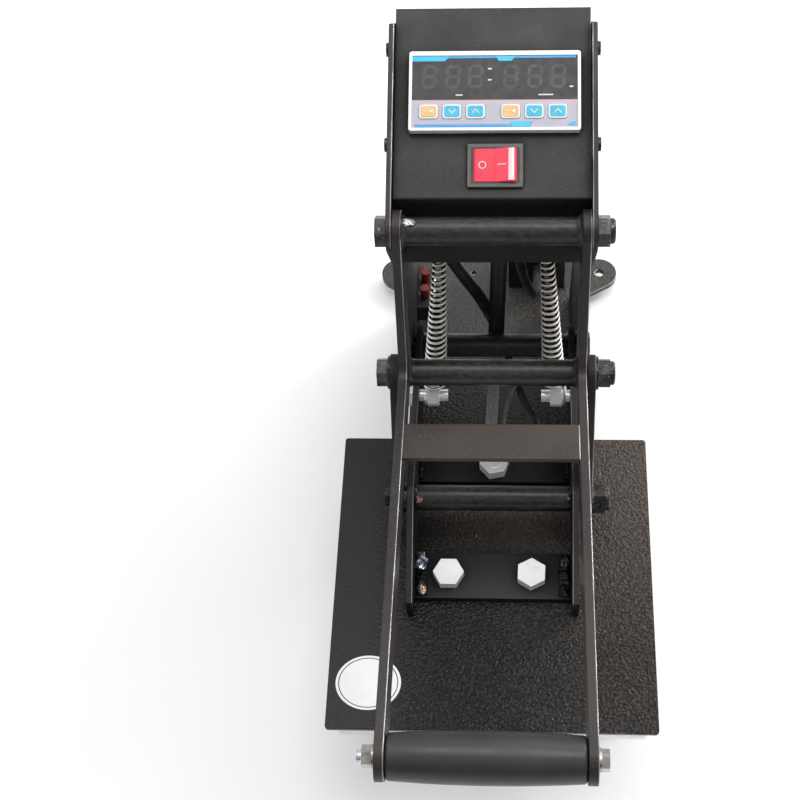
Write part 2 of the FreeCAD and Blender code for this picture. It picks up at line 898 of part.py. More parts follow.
def switch_rocker():
    """The rocker, a round-bellied key with a shallow V on top, tipped to its left end."""
    reach = rocker_radius
    rise = reach * math.tan(math.radians(rocker_face_angle))
    low = -rocker_axis_depth - rocker_belly
    outline = [(-reach, low), (reach, low), (reach, rocker_valley + rise), (0, rocker_valley)]
    outline.append((-reach, rocker_valley + rise))
    half = rocker_height / 2
    corners = [Vector(x, -half, z) for x, z in outline + outline[:1]]
    prism = Part.Face(Part.makePolygon(corners)).extrude(Vector(0, rocker_height, 0))
    rocker = prism.common(rocker_cylinder(reach, rocker_height))
    ends = [e for e in rocker.Edges if e.Length > half and e.CenterOfMass.z > rocker_valley + rise / 2]
    rocker = rocker.makeFillet(rocker_edge_radius, ends)
    rocker.rotate(Vector(0, 0, -rocker_axis_depth), Vector(0, 1, 0), -rocker_face_angle)
    return on_panel(rocker, switch_place)


def relay():
    """The solid-state relay on the inside of the rear cover, with its two mounting ears."""
    y1 = rear_cover_y - sheet
    z1 = wall_foot[1] - relay_drop
    x0 = relay_shift - relay_width
    y0 = y1 - relay_depth
    width, height, depth = relay_slot
    body = block(x0, x0 + relay_width, y0, y1, z1 - relay_height, z1)
    for x in (x0 + relay_slot_inset, x0 + relay_width - relay_slot_inset - width):
        body = body.cut(block(x, x + width, y0, y0 + depth, z1 - height, z1))
        body = body.cut(block(x, x + width, y0, y0 + depth, z1 - relay_height, z1 - relay_height + height))
    return body


def terminal_block():
    depth, length, height = terminal_block_size
    y, z = seen_from_platen(terminal_block_forward, terminal_block_above)
    x1 = -frame_in + depth
    return block(-frame_in, x1, y - length / 2, y + length / 2, z - height / 2, z + height / 2)


def crimp_terminals():
    """Two insulated crimp sleeves that stand on the terminal block."""
    depth, length, height = terminal_block_size
    y, z = seen_from_platen(terminal_block_forward, terminal_block_above)
    foot = z + height / 2
    crimps = []
    for step in (-crimp_spacing / 2, crimp_spacing / 2):
        crimps.append(rod_z(-frame_in + depth / 2, y + step, foot, foot + crimp_length, crimp_radius))
    return crimps


def inlet_box():
    """A small steel box on the base for the mains inlet, open to it at the rear."""
    x0 = inlet_box_offset - inlet_box_width / 2
    x1 = inlet_box_offset + inlet_box_width / 2
    y1 = base_half_length
    y0 = y1 - inlet_box_depth
    shell = block(x0, x1, y0, y1, base_top, base_top + inlet_box_height)
    high = base_top + inlet_box_height - sheet
    shell = shell.cut(block(x0 + sheet, x1 - sheet, y0 + sheet, y1 - sheet, base_top, high))
    z = base_top + inlet_box_height / 2
    half_w = inlet_width / 2
    half_h = inlet_height / 2
    x = inlet_box_offset
    return shell.cut(block(x - half_w, x + half_w, y1 - sheet, y1, z - half_h, z + half_h))


def mains_inlet():
    """The inlet socket in the rear of its box: a rimmed well with three pins."""
    z = base_top + inlet_box_height / 2
    y1 = base_half_length
    half_w = inlet_width / 2
    half_h = inlet_height / 2
    x = inlet_box_offset
    outer_w = half_w + inlet_rim_width
    outer_h = half_h + inlet_rim_width
    rim = block(x - outer_w, x + outer_w, y1, y1 + inlet_wall, z - outer_h, z + outer_h)
    half_w -= cutout_clearance / 2
    half_h -= cutout_clearance / 2
    well = block(x - half_w, x + half_w, y1 - inlet_depth, y1, z - half_h, z + half_h)
    socket = rim.fuse(well)
    inner_w = half_w - inlet_wall
    inner_h = half_h - inlet_wall
    floor = y1 - inlet_depth + inlet_wall
    socket = socket.cut(block(x - inner_w, x + inner_w, floor, y1 + inlet_wall, z - inner_h, z + inner_h))
    for step, rise in ((-1, -inlet_pin_drop), (0, inlet_pin_rise), (1, -inlet_pin_drop)):
        start = Vector(x + step * inlet_pin_spacing, floor - inlet_wall / 2, z + rise)
        length = inlet_depth - inlet_wall
        socket = socket.fuse(Part.makeCylinder(inlet_pin_radius, length, start, Vector(0, 1, 0)))
    return socket.removeSplitter()


def pedestal():
    """The square post between base and lower platen, with its flange."""
    half = pedestal_width / 2
    hollow = half - pedestal_wall
    post = block(-half, half, platen_y - half, platen_y + half, base_top, pedestal_top)
    post = post.cut(block(-hollow, hollow, platen_y - hollow, platen_y + hollow, base_top, pedestal_top))
    half = flange_width / 2
    flange = block(-half, half, platen_y - half, platen_y + half, pedestal_top, flange_top)
    for x, y in lower_screw_places():
        flange = flange.cut(rod_z(x, y, pedestal_top, flange_top, lower_screw_hole))
    return post.fuse(flange).removeSplitter()


def lower_screw_places():
    half = flange_width / 2 - lower_screw_inset
    return [(half * sx, platen_y + half * sy) for sx in (-1, 1) for sy in (-1, 1)]


def square_layer(size, z0, z1, corner):
    """A square plate centred on the platens, with rounded corners."""
    half = size / 2
    return rounded_block(-half, half, platen_y - half, platen_y + half, z0, z1, corner)


def lower_platen():
    plate = square_layer(pad_width, flange_top, lower_plate_top, heater_corner_radius)
    for x, y in lower_screw_places():
        plate = plate.cut(rod_z(x, y, flange_top, lower_plate_top, lower_screw_hole))
        sink = lower_plate_top - lower_screw_head_height
        plate = plate.cut(rod_z(x, y, sink, lower_plate_top, lower_screw_head_radius + bolt_hole_clearance))
    return plate


def lower_platen_screws():
    screws = []
    sink = lower_plate_top - lower_screw_head_height
    for x, y in lower_screw_places():
        shank = rod_z(x, y, pedestal_top - lower_screw_reach, sink, lower_screw_radius)
        head = rod_z(x, y, sink, lower_plate_top - cutout_clearance, lower_screw_head_radius)
        screws.append(shank.fuse(head).removeSplitter())
    return screws


def silicone_pad():
    return square_layer(pad_width, lower_plate_top, pad_top, heater_corner_radius)


def arm_plate(side):
    """One of the two arms: an eye at each pivot and a low front end."""
    lowest = arm_lift
    front = seen_from_platen(arm_reach, lowest)
    front_top = seen_from_platen(arm_reach, lowest + arm_front_height)
    plate = side_plate(
        [
            (front, 0),
            (arm_pivot, arm_pivot_eye),
            (spring_bolt_at, arm_spring_eye),
            (link_pivot, arm_link_eye),
            (front_top, 0),
        ],
        arm_in,
        arm_out,
    )
    bore = pivot_bore
    plate = plate.cut(rod_x(arm_in - 1, arm_out + 1, arm_pivot, bore))
    plate = plate.cut(rod_x(arm_in - 1, arm_out + 1, link_pivot, pivot_hole))
    plate = plate.cut(rod_x(arm_in - 1, arm_out + 1, spring_bolt_at, spring_bolt_hole))
    return plate if side > 0 else mirrored(plate)


def arm_tube_rear():
    return ring_x(-arm_in, arm_in, arm_pivot, tube_radius, pivot_bore)


def arm_tube_front():
    return ring_x(-arm_in, arm_in, link_pivot, tube_radius, pivot_hole)


def link_shaft():
    """The shaft of the front pivot, cut off flush with the arms, where the linkage is open."""
    return rod_x(-arm_out, arm_out, link_pivot, pivot_radius)


def strap(start, length, holes):
    """A flat bar between the arms on top of the platen cover, with (x, forward) bolt holes."""
    y1 = platen_rear_y - start
    bar = block(-arm_in, arm_in, y1 - length, y1, cover_top, cover_top + strap_thickness)
    for x, forward in holes:
        y = platen_rear_y - forward
        bar = bar.cut(rod_z(x, y, cover_top, cover_top + strap_thickness, stud_hole))
    return bar


def platen_bolt_places():
    half = platen_bolt_spacing / 2
    return [(front_bolt_offset - half, front_strap_forward), (front_bolt_offset + half, front_strap_forward)]


def front_strap():
    return strap(front_strap_forward - front_strap_length / 2, front_strap_length, platen_bolt_places())


def rear_strap():
    return strap(rear_strap_start, rear_strap_length, [(0, stud_forward)])


def platen_bolt(x, forward, turn):
    """A hexagon bolt from the strap down into the heater plate."""
    y = platen_rear_y - forward
    top = cover_top + strap_thickness
    corner = Vector(math.cos(turn), math.sin(turn), 0)
    head = hexagon(Vector(x, y, top), Vector(0, 0, 1), corner, hex_flats, bolt_head_height)
    return rod_z(x, y, heater_top - heater_thickness / 2, top, stud_radius).fuse(head).removeSplitter()


def platen_bolts():
    left, right = platen_bolt_places()
    return [platen_bolt(*left, 0), platen_bolt(*right, math.radians(right_bolt_turn))]


def stud_and_nut():
    """The stud that holds the rear of the platen to the rear strap."""
    y = platen_rear_y - stud_forward
    top = cover_top + strap_thickness
    stud = rod_z(0, y, heater_top - heater_thickness / 2, top + nut_height + stud_reach, stud_radius)
    turn = math.radians(stud_nut_turn)
    corner = Vector(math.cos(turn), math.sin(turn), 0)
    nut = hexagon(Vector(0, y, top), Vector(0, 0, 1), corner, hex_flats, nut_height)
    return [stud, nut.cut(rod_z(0, y, top, top + nut_height, stud_hole))]


def platen_layer(size, z0, z1, corner):
    layer = square_layer(size, z0, z1, corner)
    for x, forward in platen_bolt_places() + [(0, stud_forward)]:
        layer = layer.cut(rod_z(x, platen_rear_y - forward, z0, z1, stud_hole))
    return layer


def platen_cover():
    return platen_layer(platen_size, insulation_top, cover_top, cover_corner_radius)


def insulation_board():
    return platen_layer(heater_width, heater_top, insulation_top, heater_corner_radius)


def element_line():
    """The heating tube's centre line: two hairpins that open to the rear, between the bolts."""
    z = heater_top - element_depth
    rear = platen_y + heater_width / 2
    front = platen_y - heater_width / 2 + element_inset + element_spacing / 2
    half = element_spacing / 2
    edges = []
    xs = [front_bolt_offset + step * half for step in (-3, -1, 1, 3)]
    turn_rear = rear - element_turn_inset - half
    ends = [(rear, front), (front, turn_rear), (turn_rear, front), (front, rear)]
    for i, x in enumerate(xs):
        start, stop = ends[i]
        edges.append(Part.LineSegment(Vector(x, start, z), Vector(x, stop, z)).toShape())
        if i < 3:
            bulge = -half if i % 2 == 0 else half
            points = [Vector(x, stop, z), Vector(x + half, stop + bulge, z), Vector(xs[i + 1], stop, z)]
            edges.append(Part.Arc(*points).toShape())
    return Part.Wire(edges), Vector(xs[0], rear, z)


def element_tube(radius):
    line, start = element_line()
    circle = Part.Wire(Part.Circle(start, Vector(0, 1, 0), radius).toShape())
    return line.makePipeShell([circle], True, False)


def heating_element():
    return element_tube(element_radius)


def heater_plate():
    """The aluminium plate: bolt holes end halfway down, and a channel inside it holds the element."""
    plate = square_layer(heater_width, heater_bottom, heater_top, heater_corner_radius)
    for x, forward in platen_bolt_places() + [(0, stud_forward)]:
        depth = heater_top - heater_thickness / 2
        plate = plate.cut(rod_z(x, platen_rear_y - forward, depth, heater_top, stud_hole))
    return plate.cut(element_tube(element_radius + element_clearance))


def spring_bolts():
    """The two bolts that hold the springs' lower hooks to the arms, each with its nut."""
    pieces = []
    hook_x = spring_offset_bottom + spring_radius_bottom
    sizes = (spring_nut_flats, spring_bolt_radius, spring_bolt_head_height, spring_bolt_turn)
    for side in (-1, 1):
        pieces.append(bolt_x(side * arm_out, side * spring_bolt_tip, spring_bolt_at, -side, *sizes))
        start = side * (hook_x - spring_wire_radius - spring_nut_gap)
        nut_sizes = (spring_nut_flats, spring_bolt_nut_height, spring_bolt_hole, spring_bolt_turn)
        pieces.append(nut_x(start, -side, spring_bolt_at, *nut_sizes))
    return pieces


def arc_edge(start, heading, end):
    """The arc from start to end that leaves start along heading."""
    chord = end - start
    straight = Vector(chord).normalize()
    lean = heading.getAngle(straight)
    sideways = Vector(heading - straight * heading.dot(straight)).normalize()
    middle = start + chord / 2 + sideways * (chord.Length / 2 * math.tan(lean / 2))
    return Part.Arc(start, middle, end).toShape()


def biarc(p0, t0, p1, t1):
    """Two arcs that join p0 to p1, along t0 at the start and t1 at the end."""
    v = p1 - p0
    t = t0 + t1
    bend = 2 * (1 - t0.dot(t1))
    reach = (math.sqrt(v.dot(t) ** 2 + bend * v.dot(v)) - v.dot(t)) / bend
    q0 = p0 + t0 * reach
    q1 = p1 - t1 * reach
    joint = (q0 + q1) / 2
    middle_heading = Vector(q1 - q0).normalize()
    return [arc_edge(p0, t0, joint), arc_edge(joint, middle_heading, p1)]


def spring_line(side):
    """The wire of one spring as one line: a hook round the rod, widening coils, a hook round the bolt."""
    top = Vector(0, *spring_rod_at)
    down = Vector(0, spring_bolt_at[0] - spring_rod_at[0], spring_bolt_at[1] - spring_rod_at[1])
    length = down.Length
    down.normalize()
    out = Vector(side, 0, 0)
    across = down.cross(out)

    def at(x, s, t):
        return top + out * x + across * s + down * t

    def heading(x, s, t):
        return (out * x + across * s + down * t).normalize()

    first = hook_reach_top
    last = length - hook_reach_bottom
    pitch = (last - first) / spring_coils
    widening = (spring_radius_bottom - spring_radius_top) / spring_coils
    drift = (spring_offset_bottom - spring_offset_top) / spring_coils

    def on_coil(turns):
        a = 2 * math.pi * turns
        r = spring_radius_top + widening * turns
        x = spring_offset_top + drift * turns
        tangent = heading(
            drift + widening * math.cos(a) - 2 * math.pi * r * math.sin(a),
            widening * math.sin(a) + 2 * math.pi * r * math.cos(a),
            pitch,
        )
        return at(x + r * math.cos(a), r * math.sin(a), first + pitch * turns), tangent

    def hook(bar_radius, turns, centre, way):
        """Edges from the coil's end round a bar: way is 1 at the bottom and -1 at the top."""
        ring = bar_radius + spring_wire_radius + hook_clearance
        start, tangent = on_coil(turns)
        x = start.x * side
        knee_t = first + pitch * turns + way * ring
        points = [
            at(x, way * ring, knee_t),
            at(x, way * ring, centre),
            at(x, -way * ring, centre),
            at(x, -way * ring, centre - way * 2 * spring_wire_radius),
        ]
        return biarc(start, tangent * way, points[0], heading(0, 0, way)) + [
            Part.LineSegment(points[0], points[1]).toShape(),
            arc_edge(points[1], heading(0, 0, way), points[2]),
            Part.LineSegment(points[2], points[3]).toShape(),
        ]

    edges = []
    for i in range(2 * spring_coils):
        p0, t0 = on_coil(i / 2)
        p1, t1 = on_coil((i + 1) / 2)
        edges += biarc(p0, t0, p1, t1)
    edges += hook(spring_bolt_radius, spring_coils, length, 1)
    upper = hook(spring_rod_radius, 0, 0, -1)
    return Part.Wire(Part.__sortEdges__(upper + edges))


def least_gap(line, wire_radius, apart):
    """The least space between two stretches of a wire that lie further apart along it than apart."""
    step = wire_radius
    points = line.discretize(Distance=step)
    skip = int(apart / step)
    gap = 1e9
    for i in range(len(points)):
        for j in range(i + skip, len(points)):
            gap = min(gap, points[i].distanceToPoint(points[j]))
    return gap - 2 * wire_radius


def swept_tube(line, radius):
    """A round tube along a line."""
    first = line.OrderedEdges[0]
    start = first.valueAt(first.FirstParameter)
    heading = first.tangentAt(first.FirstParameter)
    circle = Part.Wire(Part.Circle(start, heading, radius).toShape())
    return line.makePipeShell([circle], True, False)


def spring(side):
    line = spring_line(side)
    gap = least_gap(line, spring_wire_radius, 4 * spring_radius_top)
    print("spring: least gap to itself", round(gap, 2), "mm")
    return swept_tube(line, spring_wire_radius)


def lead(name, route, radius):
    """A lead along its route: straight runs joined by the largest arcs that the runs allow."""
    points = [Vector(*p) for p in route]
    edges = []
    radii = []
    start = points[0]
    for i in range(1, len(points) - 1):
        before = points[i] - points[i - 1]
        after = points[i + 1] - points[i]
        half_turn = before.getAngle(after) / 2
        cut = 0.45 * min(before.Length, after.Length)
        into = points[i] - Vector(before).normalize() * cut
        out = points[i] + Vector(after).normalize() * cut
        radii.append(cut / math.tan(half_turn))
        edges.append(Part.LineSegment(start, into).toShape())
        edges.append(arc_edge(into, Vector(before).normalize(), out))
        start = out
    edges.append(Part.LineSegment(start, points[-1]).toShape())
    line = Part.Wire(edges)
    tube = swept_tube(line, radius)
    expected = math.pi * radius**2 * line.Length
    print(name, "length", round(line.Length, 1), "least radius", round(min(radii), 1), end=" ")
    print("in diameters", round(min(radii) / (2 * radius), 1), end=" ")
    print("volume over section times length", round(tube.Volume / expected, 4))
    return tube


def handle_plate(side):
    """One bent side of the handle: a short leg from the top pivot to the knee, a long one to the grip."""
    leg = side_plate([(handle_pivot, frame_nose_radius), (knee, handle_knee_radius)], handle_in, handle_out)
    bar = side_plate([(knee, handle_knee_radius), (grip_centre, handle_end_radius)], handle_in, handle_out)
    plate = leg.fuse(bar).removeSplitter()
    inner = [e for e in plate.Edges if is_inner_corner(e)]
    plate = plate.makeFillet(knee_fillet, inner)
    bore = pivot_bore
    for at in (handle_pivot, knee):
        plate = plate.cut(rod_x(handle_in - 1, handle_out + 1, at, bore))
    hole = small_hole
    plate = plate.cut(rod_x(handle_in - 1, handle_out + 1, grip_centre, hole))
    return plate if side > 0 else mirrored(plate)


def is_inner_corner(edge):
    """True for the edge across the plate where the two legs meet on the upper side."""
    middle = edge.CenterOfMass
    across = edge.Length < handle_thickness * 1.01 and abs(edge.tangentAt(edge.FirstParameter).x) > 0.9
    reach = math.hypot(middle.y - knee[0], middle.z - knee[1])
    beyond_eye = 1.05 * handle_knee_radius
    return across and middle.z > knee[1] and beyond_eye < reach < 2 * handle_knee_radius


def handle_tube(at):
    """A spacer tube between the handle's sides that turns on a pivot."""
    return ring_x(-handle_in, handle_in, at, tube_radius, pivot_bore)


def bar_direction():
    """Unit direction of the long legs of the handle, from the knee to the grip, and their length."""
    y, z = minus(grip_centre, knee)
    length = math.hypot(y, z)
    return (y / length, z / length), length


def bridge_strap():
    """The flat bridge between the handle's bars, its top flush with theirs."""
    (dy, dz), length = bar_direction()
    lean = math.asin((handle_knee_radius - handle_end_radius) / length)
    upright = (dz * math.cos(lean) + dy * math.sin(lean), dz * math.sin(lean) - dy * math.cos(lean))
    forward = (-upright[1], upright[0])
    rise = handle_knee_radius - bridge_thickness
    reach = bridge_forward - knee_forward
    strip = block(-handle_in, handle_in, -bridge_length / 2, bridge_length / 2, 0, bridge_thickness)
    strip.rotate(Vector(0, 0, 0), Vector(1, 0, 0), math.degrees(math.atan2(-upright[0], upright[1])))
    y = knee[0] + rise * upright[0] + reach * forward[0]
    z = knee[1] + rise * upright[1] + reach * forward[1]
    strip.translate(Vector(0, y, z))
    return strip


def grip():
    """A barrel on the grip rod, thicker in the middle."""
    half = handle_in - grip_gap
    bore = small_hole
    left = Vector(-half, grip_end_radius, 0)
    right = Vector(half, grip_end_radius, 0)
    side = Part.Arc(left, Vector(0, grip_radius, 0), right)
    outline = [
        side.toShape(),
        Part.LineSegment(right, Vector(half, bore, 0)).toShape(),
        Part.LineSegment(Vector(half, bore, 0), Vector(-half, bore, 0)).toShape(),
        Part.LineSegment(Vector(-half, bore, 0), left).toShape(),
    ]
    barrel = Part.Face(Part.Wire(outline)).revolve(Vector(0, 0, 0), Vector(1, 0, 0), 360)
    rims = [e for e in barrel.Edges if abs(e.Length - 2 * math.pi * grip_end_radius) < 0.01]
    barrel = barrel.makeFillet(grip_rounding, rims)
    barrel.translate(Vector(0, grip_centre[0], grip_centre[1]))
    return barrel


def grip_rod():
    """The bolt through the grip, with its washers and its nut on the left."""
    washer_end = handle_out + small_washer_thickness
    end = washer_end + small_nut_height + rod_reach
    sizes = (small_hex_flats, small_bolt_radius, small_bolt_head_height)
    bolt = bolt_x(washer_end, -end, grip_centre, -1, *sizes)
    washer = ring_x(handle_out, washer_end, grip_centre, small_washer_radius, small_hole)
    nut = nut_x(-washer_end, -1, grip_centre, small_hex_flats, small_nut_height, small_hole)
    return [bolt, nut] + both_sides(washer)


def link(side):
    """A flat link from the knee down to the arm."""
    plate = side_plate([(knee, link_eye), (link_pivot, link_eye)], link_in, link_out)
    for at in (knee, link_pivot):
        plate = plate.cut(rod_x(link_in - 1, link_out + 1, at, pivot_hole))
    return plate if side > 0 else mirrored(plate)


def link_bolts():
    """The through bolt of the knee, and the short bolts at the links' lower ends."""
    washer_end = link_out + washer_thickness
    hole = pivot_hole
    end = washer_end + lock_nut_height
    sizes = (pivot_flats, pivot_radius, bolt_head_height)
    knee_bolt = bolt_x(-washer_end, end, knee, 1, *sizes, knee_bolt_turn)
    nut = lock_nut_x(washer_end, knee, knee_bolt_turn)
    washer = ring_x(link_out, washer_end, knee, washer_radius, hole)
    inner_end = arm_out + axial_clearance
    sizes = (small_hex_flats, pivot_radius, small_nut_height)
    left = bolt_x(-washer_end, -inner_end, link_pivot, 1, *sizes, link_bolt_turn)
    right = rod_x(inner_end, end, link_pivot, pivot_radius)
    lower_nut = lock_nut_x(washer_end, link_pivot, link_bolt_turn)
    lower_washer = ring_x(link_out, washer_end, link_pivot, spacer_radius, hole)
    spacer = ring_x(inner_end, link_in, link_pivot, spacer_radius, hole)
    pieces = [knee_bolt, nut, left, right, lower_nut]
    return pieces + both_sides(washer) + both_sides(lower_washer) + both_sides(spacer)


save("base_plate", base_plate())
save("rubber_feet", *rubber_feet())
save("small_screws", *foot_screws(), *box_screws(), *lower_platen_screws())
save("frame_plate_left", frame_plate(-1))
save("frame_plate_right", frame_plate(1))
save("frame_pivot_bolts", *frame_pivot_bolts())
save("spring_rod", *spring_rod())
save("control_box_shell", box_shell())
save("rear_cover", rear_cover())
save("cable_grommets", *cable_grommets())
save("controller_bezel", controller_bezel())
save("controller_case", controller_case())
save("display_window", display_window())
save("key_sheet", key_sheet())
for number, place in enumerate(key_places(), 1):
    save("key_" + str(number), key(place))
save("switch_housing", switch_housing())
save("switch_rocker", switch_rocker())
save("relay", relay())
save("terminal_block", terminal_block())
save("crimp_terminals", *crimp_terminals())
save("inlet_box", inlet_box())
save("mains_inlet", mains_inlet())
save("pedestal", pedestal())
save("lower_platen", lower_platen())
save("silicone_pad", silicone_pad())
save("arm_plate_left", arm_plate(-1))
save("arm_plate_right", arm_plate(1))
save("arm_tube_rear", arm_tube_rear())
save("arm_tube_front", arm_tube_front())
save("link_shaft", link_shaft())
save("front_strap", front_strap())
save("rear_strap", rear_strap())
save("platen_bolts", *platen_bolts())
save("stud_and_nut", *stud_and_nut())
save("platen_cover", platen_cover())
save("insulation_board", insulation_board())
save("heating_element", heating_element())
save("heater_plate", heater_plate())
save("spring_bolts", *spring_bolts())
save("spring_left", spring(-1))
save("spring_right", spring(1))
save("handle_plate_left", handle_plate(-1))
save("handle_plate_right", handle_plate(1))
save("handle_tube_top", handle_tube(handle_pivot))
save("handle_tube_knee", handle_tube(knee))
save("bridge_strap", bridge_strap())
save("grip", grip())
save("grip_rod", *grip_rod())
save("link_left", link(-1))
save("link_right", link(1))
save("link_bolts", *link_bolts())
save("heater_lead", lead("heater_lead", heater_lead_route, heater_lead_radius))
save("power_lead", lead("power_lead", power_lead_route, power_lead_radius))
save("earth_lead", lead("earth_lead", earth_lead_route, earth_lead_radius))
save("sensor_lead", lead("sensor_lead", sensor_lead_route, sensor_lead_radius))
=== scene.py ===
import math
import bmesh
import bpy
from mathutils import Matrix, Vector, noise


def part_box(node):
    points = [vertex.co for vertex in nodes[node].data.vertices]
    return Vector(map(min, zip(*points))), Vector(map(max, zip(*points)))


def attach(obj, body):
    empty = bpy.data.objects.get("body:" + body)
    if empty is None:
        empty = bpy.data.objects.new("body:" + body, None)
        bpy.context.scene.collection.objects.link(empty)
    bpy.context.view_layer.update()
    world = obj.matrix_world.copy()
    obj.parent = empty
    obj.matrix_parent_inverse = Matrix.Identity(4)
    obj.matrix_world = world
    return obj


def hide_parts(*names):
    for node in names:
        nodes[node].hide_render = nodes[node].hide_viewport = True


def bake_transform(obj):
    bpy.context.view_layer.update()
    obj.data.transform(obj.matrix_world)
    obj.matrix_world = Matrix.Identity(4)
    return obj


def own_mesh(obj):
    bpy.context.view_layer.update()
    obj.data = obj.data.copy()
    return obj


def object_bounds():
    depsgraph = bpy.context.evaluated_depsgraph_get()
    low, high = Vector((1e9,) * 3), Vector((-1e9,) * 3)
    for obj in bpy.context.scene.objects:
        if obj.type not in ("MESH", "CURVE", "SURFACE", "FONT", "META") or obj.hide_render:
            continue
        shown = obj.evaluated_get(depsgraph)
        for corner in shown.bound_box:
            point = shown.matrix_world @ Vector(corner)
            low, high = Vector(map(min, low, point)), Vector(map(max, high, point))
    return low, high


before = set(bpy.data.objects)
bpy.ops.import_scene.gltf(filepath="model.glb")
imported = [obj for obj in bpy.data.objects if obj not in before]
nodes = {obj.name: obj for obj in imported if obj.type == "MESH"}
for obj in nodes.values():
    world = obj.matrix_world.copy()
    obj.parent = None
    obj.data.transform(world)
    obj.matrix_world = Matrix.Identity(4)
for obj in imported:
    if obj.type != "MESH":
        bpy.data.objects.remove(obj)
cad_low, cad_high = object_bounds()
mm = 0.001


# Camera at the photo's angle, floor and light

def show(thing):
    """Puts an object into the scene."""
    bpy.context.scene.collection.objects.link(thing)


def make_camera():
    """The photo's own camera, worked out from the edges of the press in it."""
    data = bpy.data.cameras.new("camera")
    data.sensor_width = 36.0
    data.lens = 64.54
    data.shift_x = -0.05
    data.clip_start = 0.05
    camera = bpy.data.objects.new("camera", data)
    camera.location = (0.0133, -0.5016, 0.9367)
    camera.rotation_euler = [math.radians(turn) for turn in (30.959, 2.423, 1.769)]
    show(camera)
    bpy.context.scene.camera = camera


def area_light(name, place, target, width, height, power, color=(1, 1, 1)):
    """A rectangular soft box at a place, turned to its target, with its power in watts."""
    data = bpy.data.lights.new(name, "AREA")
    data.shape = "RECTANGLE"
    data.size = width
    data.size_y = height
    data.energy = power
    data.color = color
    light = bpy.data.objects.new(name, data)
    light.location = place
    light.rotation_euler = (Vector(target) - Vector(place)).to_track_quat("-Z", "Y").to_euler()
    show(light)


def make_world():
    """Studio surroundings, brighter above and behind than in front and below."""
    world = bpy.data.worlds.new("studio")
    world.use_nodes = True
    background = world.node_tree.nodes["Background"]
    up_and_back = (0.15, 0.45, 0.88)
    height = dot(add(background, "TexCoord").outputs["Generated"], up_and_back)
    feed(background, color=(0.97, 0.98, 1.0), strength=ramp(height, -0.2, 1.0, 0.08, 1.1))
    bpy.context.scene.world = world
    bpy.context.scene.view_settings.view_transform = "Standard"


def make_lights():
    """A soft box overhead, another behind on the right, and a narrow window on each side."""
    middle_low = (0, -0.1, 0.1)
    middle_high = (0, -0.1, 0.15)
    area_light("overhead", (0.1, 0.1, 2.2), middle_low, 1.2, 0.55, 10)
    area_light("box_behind", (0.8, 1.2, 1.7), middle_low, 0.8, 0.6, 6)
    area_light("window_right", (1.15, 0.75, 0.8), middle_high, 0.35, 0.9, 13, (1.0, 0.97, 0.93))
    area_light("window_left", (-1.1, 0.7, 0.7), middle_high, 0.3, 0.7, 3, (0.93, 0.96, 1.0))


def floor_material():
    """Matt white, lifted a little so that it stays pale in the shade."""
    material, shader = start("floor_white", (0.9, 0.9, 0.9), 0.8,
                             emission_color=(1, 1, 1), emission_strength=0.1)
    tint(shader, grain(shader, 3.0, 2.0), (0.90, 0.90, 0.90), (0.94, 0.94, 0.94))
    return material


def make_floor():
    """A wide pale floor under the rubber feet."""
    shape = bmesh.new()
    bmesh.ops.create_grid(shape, x_segments=8, y_segments=8, size=6.0)
    for vertex in shape.verts:
        vertex.co.z = cad_low.z
    data = bpy.data.meshes.new("floor")
    shape.to_mesh(data)
    data.materials.append(floor_material())
    floor = bpy.data.objects.new("floor", data)
    show(floor)


# Building blocks of the materials

# Width and colour of the edge band: bare metal where worn, which on the lamp side also paints a highlight
worn_and_lit_width = 0.0012
bare_metal_and_highlight = (0.70, 0.66, 0.69)


def join(value, target):
    """Gives a socket another node's output, or else a plain number, vector or colour."""
    if isinstance(value, bpy.types.NodeSocket):
        target.id_data.links.new(value, target)
    elif target.type == "RGBA":
        target.default_value = (*value, 1.0)
    else:
        target.default_value = value


def feed(node, **values):
    """Joins values to a node's own sockets, by their names in lower case."""
    for socket in node.inputs:
        key = socket.name.lower().replace(" ", "_")
        if key in values and socket.enabled:
            join(values[key], socket)


def start(name, color, roughness, metallic=0.0, **values):
    """A material with its plain values set on the shader's own sockets."""
    material = bpy.data.materials.new(name)
    material.use_nodes = True
    shader = material.node_tree.nodes["Principled BSDF"]
    feed(shader, base_color=color, roughness=roughness, metallic=metallic, **values)
    return material, shader


def add(near, kind, **values):
    """A node in the same tree as another node or socket, fed with values."""
    node = near.id_data.nodes.new("ShaderNode" + kind)
    feed(node, **values)
    return node


def place_of(near):
    """The point's own place in the row frame, in metres."""
    return add(near, "TexCoord").outputs["Object"]


def axes_of(vector):
    """The three numbers of a vector, as outputs X, Y and Z."""
    return add(vector, "SeparateXYZ", vector=vector).outputs


def dot(first, second):
    """The dot product of an output with another output or a fixed vector."""
    node = add(first, "VectorMath")
    node.operation = "DOT_PRODUCT"
    join(first, node.inputs[0])
    join(second, node.inputs[1])
    return node.outputs["Value"]


def worked_out(operation, first, *others):
    """A number worked out from an output and from numbers or other outputs."""
    node = add(first, "Math")
    node.operation = operation
    for value, socket in zip((first, *others), node.inputs):
        join(value, socket)
    return node.outputs[0]


def grain(near, scale, detail=3.0, distortion=0.0, stretch=None):
    """Noise whose grains are 1 / scale metres wide, stretched along an axis if asked."""
    spot = place_of(near)
    if stretch:
        spot = add(near, "Mapping", vector=spot, scale=stretch).outputs["Vector"]
    node = add(near, "TexNoise", vector=spot, scale=scale, detail=detail, distortion=distortion)
    return node.outputs["Fac"]


def ramp(value, low, high, to_low=0.0, to_high=1.0):
    """The value spread from low..high to to_low..to_high, which may be numbers or outputs."""
    node = add(value, "MapRange", value=value, from_min=low, from_max=high, to_min=to_low, to_max=to_high)
    return node.outputs["Result"]


